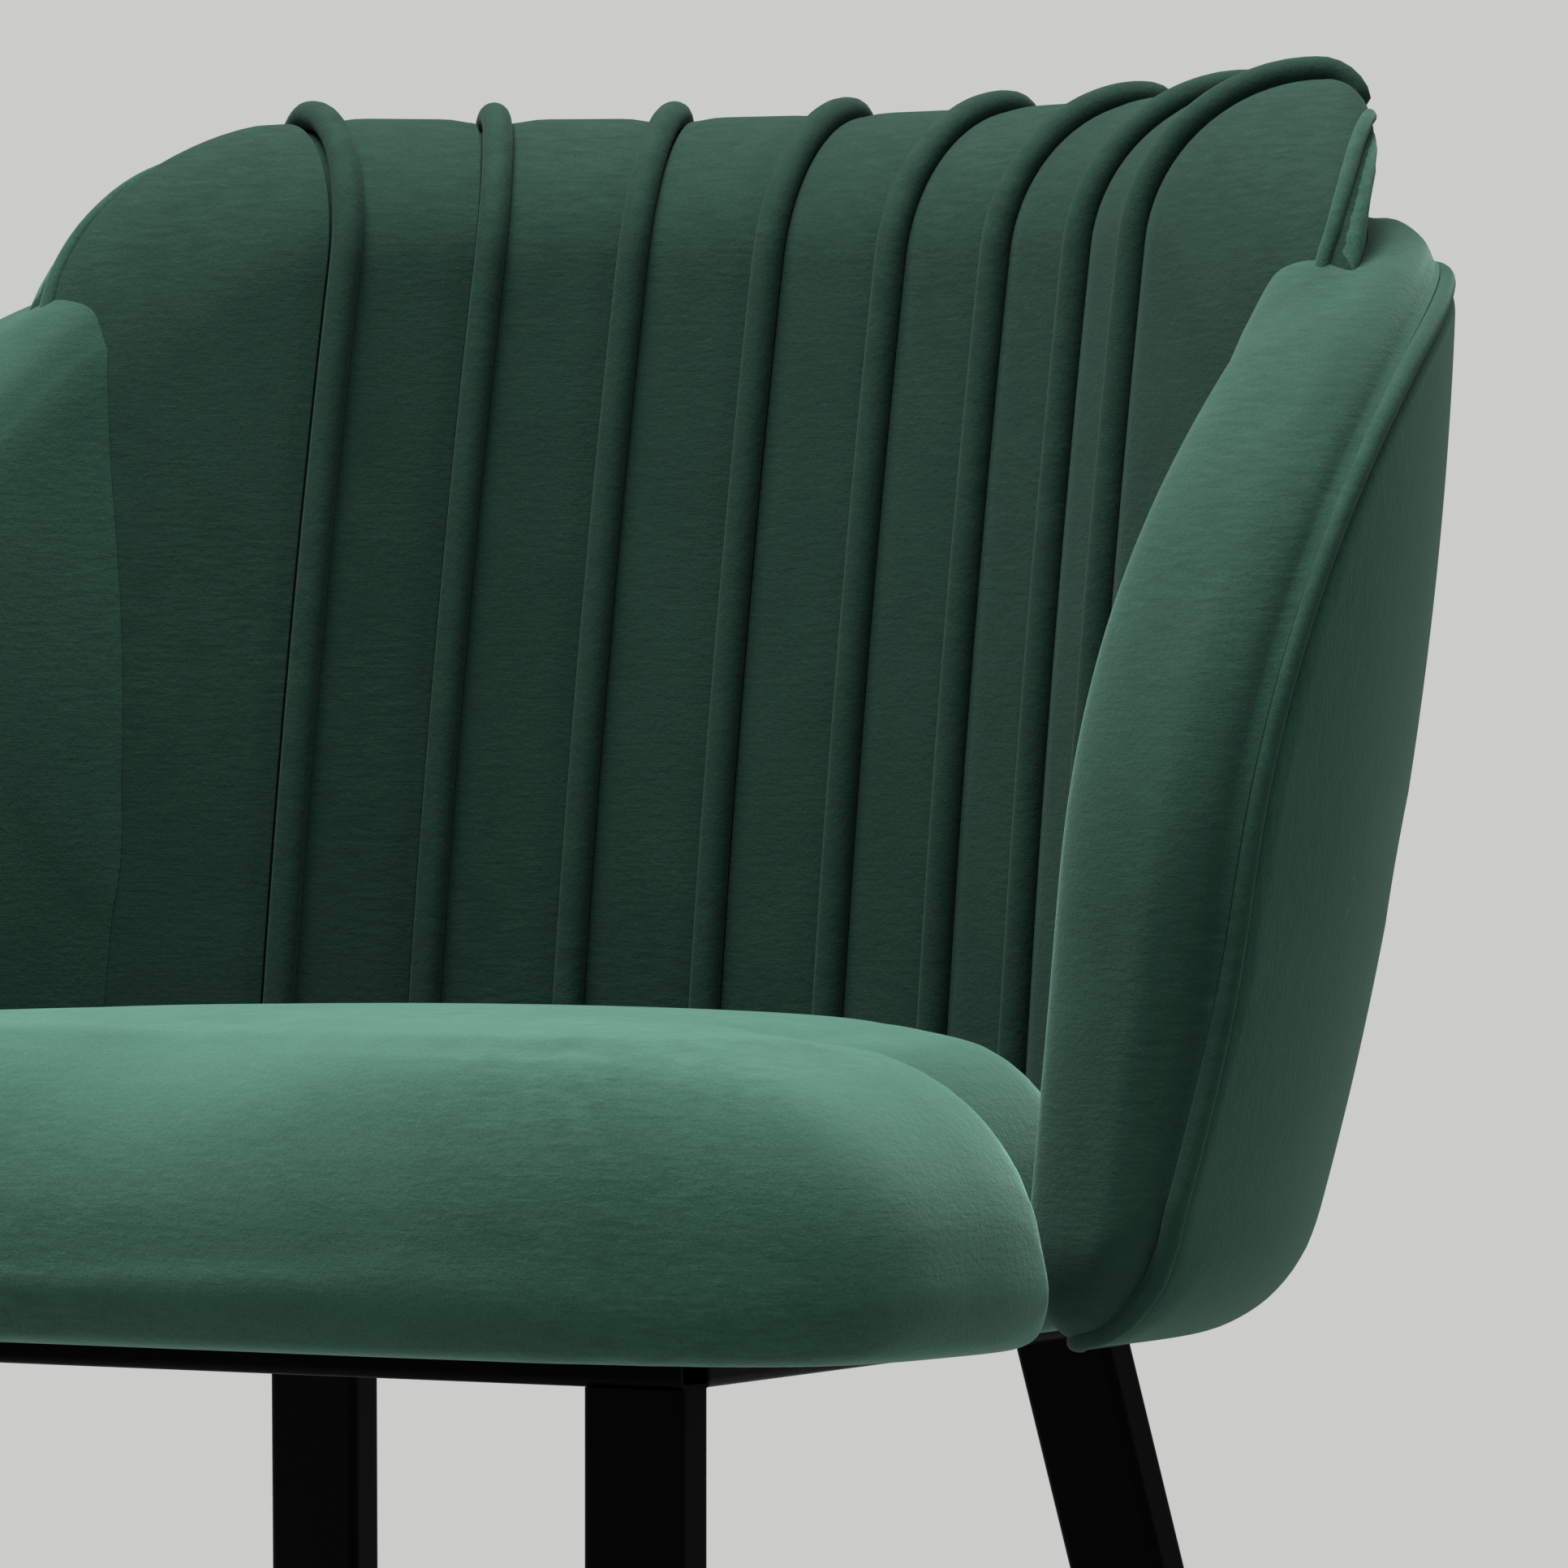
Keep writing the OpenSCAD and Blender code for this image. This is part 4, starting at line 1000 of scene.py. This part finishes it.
def rear_panel_section(angle):
    """Section of the panel at one angle: its crowned outer face up, then its inner face down."""
    lap = LAYER_GAP
    turn = float(seam_turn(angle))
    climbs = turn < 90
    outline = [[(BACK_T, BACK_BOTTOM), (BACK_T, RECESS_TOP - 2 * BACK_WELT_R - 0.6)]]
    if climbs:
        outline.append([(BACK_T + 0.5 * lap, ROLL_END - 1)])
        outline.append(roll_rear_at(np.linspace(90, turn, 24)[1:], lap))
    outline = np.vstack(outline)
    reach = travelled(outline)
    span = reach[-1] - (BACK_WELT_R + 0.2 if climbs else 0)
    near = np.array([0, 0.8, 2, 3.6, 5.6, 8, 11, 15])
    low, middle = np.linspace(0, 12, 5), np.linspace(40, span - 24, 26)
    along = np.concatenate([low, middle, span - near[::-1]])
    s = path_at(outline, reach, along)
    from_end = (HALF_ANGLE - abs(angle)) * math.radians(BACK_R)
    edge = np.minimum(np.minimum(from_end, span - along), along)
    inward = np.where(s[:, 1:] > ROLL_END, unit(s - (ROLL_FRONT, ROLL_END)), (1.0, 0.0))
    outer = s - (PANEL_ROUND * rounded_off(edge, 10))[:, None] * inward
    thick = np.where(s[:, 1] > ROLL_END - 4, 4.5, BACK_PANEL_T)
    return np.vstack([outer, (s - thick[:, None] * inward)[::-1]])


def rear_panel():
    """Padded panel that closes the rear of the inner back, rounded over at its edges."""
    rings = [back_point(a, *rear_panel_section(a).T) for a in all_angles(60, 20)]
    return skin("rear_panel_velvet", rings)


def rear_welt():
    """Thin welt up one end of the inner back, across under the crest and down the other end."""
    top = RECESS_TOP - BACK_WELT_R - 0.3

    def end(side, z):
        return back_point(side * HALF_ANGLE, PAD_RHO - 0.5, z) - (0, 0.6 * BACK_WELT_R, 0)

    def away(path):
        return outward(path, BACK_AXIS_Y)

    up = np.linspace(BACK_BOTTOM + 6, ROLL_START - 6, 34)
    a = all_angles(70, 26)
    turn = seam_turn(a)
    level = turn >= 90
    depth, height = roll_rear_at(turn, -0.6).T
    across = back_point(a, np.where(level, BACK_T - 2.0, depth), np.where(level, top, height))
    path = np.vstack([end(-1, up), across, end(1, up[::-1])])
    return tube("rear_welt", path, BACK_WELT_R, away, sides=14, step=2.4)


def back_envelope(grow):
    """Plain solid round the inner back, used to keep the shell clear of it."""
    section = np.vstack([
        upright(-grow, np.linspace(BACK_BOTTOM - grow, ROLL_START, 30)),
        roll_front_at(np.linspace(0, 90, 14)[1:], grow),
        roll_rear_at(np.linspace(0, 90, 8)[1:], grow),
        upright(BACK_T + grow, np.linspace(ROLL_END - 10, BACK_BOTTOM - grow, 26)),
    ])
    rings = [
        back_point(a, *section.T) - (0, grow * (1 - end_keep(a)), 0) for a in all_angles(60, 16)
    ]
    first, last = (
        back_point(side * HALF_ANGLE, *section.T) - (0, grow + 1.0, 0) for side in (-1, 1)
    )
    return skin("envelope", [first, *rings, last])


# Outer shell


def wing_foot(edge):
    """Share of the way down to the wing's foot, where the welt runs further from the edge."""
    return ramp(edge[:, 1], *WELT_SLIDE_Z)


class Cover:
    """Sections of the shell's cover, one at each point of its edge."""

    def __init__(self, edge):
        self.edge = edge
        self.low = edge[:, 2]
        self.sections = []
        for low in self.low:
            knots = mix(np.array(TOP_COVER, float), np.array(FOOT_COVER, float), low)
            section = profile_through(knots * (1, COVER_T), 260)
            self.sections.append((section, travelled(section)))

    def at(self, s, sunk):
        """Points at distance s along the sections, sunk in square to the cover."""
        s = np.broadcast_to(s, self.low.shape)
        sunk = np.broadcast_to(sunk, self.low.shape)
        found = []
        for (section, reach), along, deep in zip(self.sections, s, sunk):
            here, ahead, behind = (path_at(section, reach, along + off) for off in (0, 0.6, -0.6))
            t = (ahead - behind) / np.linalg.norm(ahead - behind)
            found.append(here + deep * np.array([t[1], -t[0]]))
        found = np.array(found)
        return shell_at(self.edge, np.maximum(found[:, 0], 0), 0.0, found[:, 1] / COVER_T)

    def welt_line(self):
        return np.interp(self.low, WELT_LOW, WELT_AT) + WELT_SLIDE * (1 - wing_foot(self.edge))


def shell_pad():
    """Padded shell: bed of the outer panel, rolled edge with its wings, and the inner face."""
    edge = shell_edge(5.0)
    low = edge[:, 2]
    slide = WELT_SLIDE * wing_foot(edge) * (1 - low)
    floor_w = mix(*FLOOR_W, low) + slide
    rings = [
        shell_at(edge, -1.0, SHELL_FLOOR, 0.0),
        shell_at(edge, -0.5, SHELL_FLOOR, 0.0),
        shell_at(edge, RIM, SHELL_FLOOR, 0.0),
        shell_at(edge, floor_w, SHELL_FLOOR, 0.0),
        shell_at(edge, floor_w, LEDGE, 0.0),
        shell_at(edge, mix(RECESS_W + 0.4, LOWER_W + 0.4, low) + slide, LEDGE, 0.0),
    ]
    near_back = ramp(np.abs(edge[:, 0]), *CREST_LIFT_ANGLE)
    lift = CREST_LIFT * (ramp(edge[:, 1], *CREST_LIFT_Z) * near_back * (1 - low))
    top = profile_through(TOP_ROLL, 34)
    foot = profile_through(FOOT_ROLL, 34)
    for (top_w, top_share), (foot_w, foot_share) in zip(top, foot):
        beside_welt = np.clip(top_w / top[0, 0], 0, 1) * (top_share < top[0, 1] + 0.22)
        w = mix(top_w, foot_w, low) + slide * beside_welt
        ring = shell_at(edge, w, 0.0, mix(top_share, foot_share, low))
        ring[:, 2] += lift * smooth((top_share - 0.42) / 0.32)
        rings.append(ring)
    for w, kept in ((38, 0.8), (46, 0.6), (56, 0.3), (RIM, 0)):
        ring = shell_at(edge, w, 0.0, 1.0)
        ring[:, 2] += lift * kept
        rings.append(ring)
    for share in np.linspace(0, 1, 12)[1:]:
        rings.append(shell_at(edge, -share, 0.0, 1.0))
    return skin("shell_velvet", rings)


def shell_panel():
    """Outer panel of the shell, crowned, turned under at the welt and wrapped round the foot."""
    edge = shell_edge(5.0)
    cover = Cover(edge)
    tip = cover.welt_line() - WELT_R - 0.1
    under = PANEL_T + 0.1
    rings = [shell_at(edge, -1.0, under, 0.0), shell_at(edge, RIM, under, 0.0)]
    for away in (0.0, 0.35, 0.7):
        rings.append(cover.at(tip * away, under))
    rings.append(cover.at(tip - 0.6, under))
    for u in np.linspace(0, 1, 30)[:-1] ** 1.7:
        inset = tip * u
        rings.append(cover.at(tip - inset, PANEL_ROUND * rounded_off(inset, 7)))
    rings.append(shell_at(edge, RIM, 0.0, 0.0))
    for share in np.linspace(0, 1, 12)[1:]:
        rings.append(shell_at(edge, -share, 0.0, 0.0))
    return skin("shell_panel_velvet", rings)


def shell_welt():
    """Welt between the shell's roll and its outer panel, one closed loop."""
    cover = Cover(shell_edge(4.0))
    path = cover.at(cover.welt_line(), mix(WELT_SUNK, 1.0, cover.low))

    def away(path):
        return outward(path, SHELL_Y)

    return tube("shell_welt_cord", path, WELT_R, away, sides=16, closed=True)


# Build the pieces


def dress(obj, material, slot_name, *nodes):
    """Gives a piece its material and its body, and hides the nodes that it stands for. The slot
    name is not used.
    """
    obj.data.materials.clear()
    obj.data.materials.append(material)
    if nodes:
        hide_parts(*nodes)
    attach(obj, "root")
    return obj


seat = puffed(skin("seat_velvet", seat_rings()))
back = inner_back()
pipings = [piping(number) for number in range(1, CHANNELS + 2)]
panel_behind = rear_panel()
welt_behind = rear_welt()
shell = shell_pad()
outer_panel = shell_panel()
outer_welt = shell_welt()

cut(shell, back_envelope(0.4))
cut(shell, corner_box(
    "frame_corner",
    (-REAR_X - 2.5, FRAME_DEPTH - 40, -1),
    (REAR_X + 2.5, FRAME_DEPTH + 2, RAIL_H + 1),
))
for bar in ("left_back_bar", "right_back_bar"):
    cut(shell, node_box("bar_slot", bar, 1.0))
shaded(shell, 50)

cut(seat, board_space(-20, BOARD_Z + BOARD_T + 0.4, SEAT_EDGE_FOAM - 0.4))
cut(seat, corner_box(
    "rail_slot", (-FRONT_X - 1, -1, -10), (FRONT_X + 1, FRAME_DEPTH + 1, BOARD_Z + 0.3)
))
shaded(seat, 50)

dress(seat, VELVET, "velvet", "seat_cushion")
under_cloth = dress(dust_cover(), LINING, "lining_cloth", "dust_cover")
dress(staples(), ZINC, "zinc_steel")
dress(back, BACK_VELVET, "velvet", "back_pad")
dress(panel_behind, PANEL_VELVET, "velvet", "back_rear_panel")
dress(welt_behind, SHELL_CORD, "velvet_cord", "back_rear_welt")
dress(shell, SHELL_VELVET, "velvet", "shell_pad")
dress(outer_panel, PANEL_VELVET, "velvet", "shell_panel")
dress(outer_welt, SHELL_CORD, "velvet_cord", "shell_welt")
for number, cord_piece in enumerate(pipings, 1):
    dress(cord_piece, CORD, "velvet_cord", f"back_piping_{number}")

CAD_LOOKS = {
    "frame_steel": STEEL,
    "zinc_steel": ZINC,
    "glide_plastic": PLASTIC,
    "plywood": PLY,
    "lining_cloth": LINING,
}
for part in frame["record"]["subparts"]:
    look = CAD_LOOKS.get(part["material_slot"])
    if look:
        node = frame["nodes"][part["node"]]
        node.data.materials.clear()
        node.data.materials.append(look)


# Floor, light and camera, in metres

FLOOR_R = 3.2
FLOOR_COLOUR = (0.37, 0.37, 0.365, 1)
SKY_COLOUR = (0.60, 0.60, 0.59, 1)
LIGHT_TARGET = (0, 0, 0.5)
# Place of the camera in part millimetres, its turn and pitch in degrees, its lens in millimetres
CAMERA_PLACE = (1778.3, -2403.6, 182.5)
VIEW_ANGLE = 32.63
PITCH = 0.105
SENSOR, LENS = 36, 226.05


def disc(name, radius, z):
    turn = np.linspace(0, 360, 96, endpoint=False)
    points = rows(radius * cosd(turn), radius * sind(turn), z)
    return mesh_object(name, points, [tuple(range(len(points)))])


def aimed(obj, place, direction):
    """Puts a light or camera in place, facing along direction."""
    obj.location = place
    obj.rotation_euler = direction.to_track_quat("-Z", "Y").to_euler()
    return obj


def area_light(name, place, size, power):
    data = bpy.data.lights.new(name, "AREA")
    data.shape = "SQUARE"
    data.size = size
    data.energy = power
    return aimed(linked(name, data), place, Vector(LIGHT_TARGET) - Vector(place))


floor = disc("floor", FLOOR_R, 0.0)
floor_look, floor_tree, floor_shader = new_material("pale_floor")
wire(floor_tree, floor_shader, {"Base Color": FLOOR_COLOUR, "Roughness": 0.8})
floor.data.materials.append(floor_look)

scene = bpy.context.scene
scene.view_settings.view_transform = "Standard"
sky = bpy.data.worlds.new("studio")
sky.use_nodes = True
wire(sky.node_tree, sky.node_tree.nodes["Background"], {"Color": SKY_COLOUR, "Strength": 1.0})
scene.world = sky

area_light("top_light", (-0.2, -0.2, 2.5), 1.2, 170)
area_light("front_light", (1.9, -2.2, 1.5), 1.4, 9)

camera_data = bpy.data.cameras.new("camera")
camera_data.sensor_width = SENSOR
camera_data.lens = LENS
ahead = Vector((-sind(VIEW_ANGLE), cosd(VIEW_ANGLE), -math.tan(math.radians(PITCH))))
scene.camera = aimed(linked("camera", camera_data), world(CAMERA_PLACE), ahead)
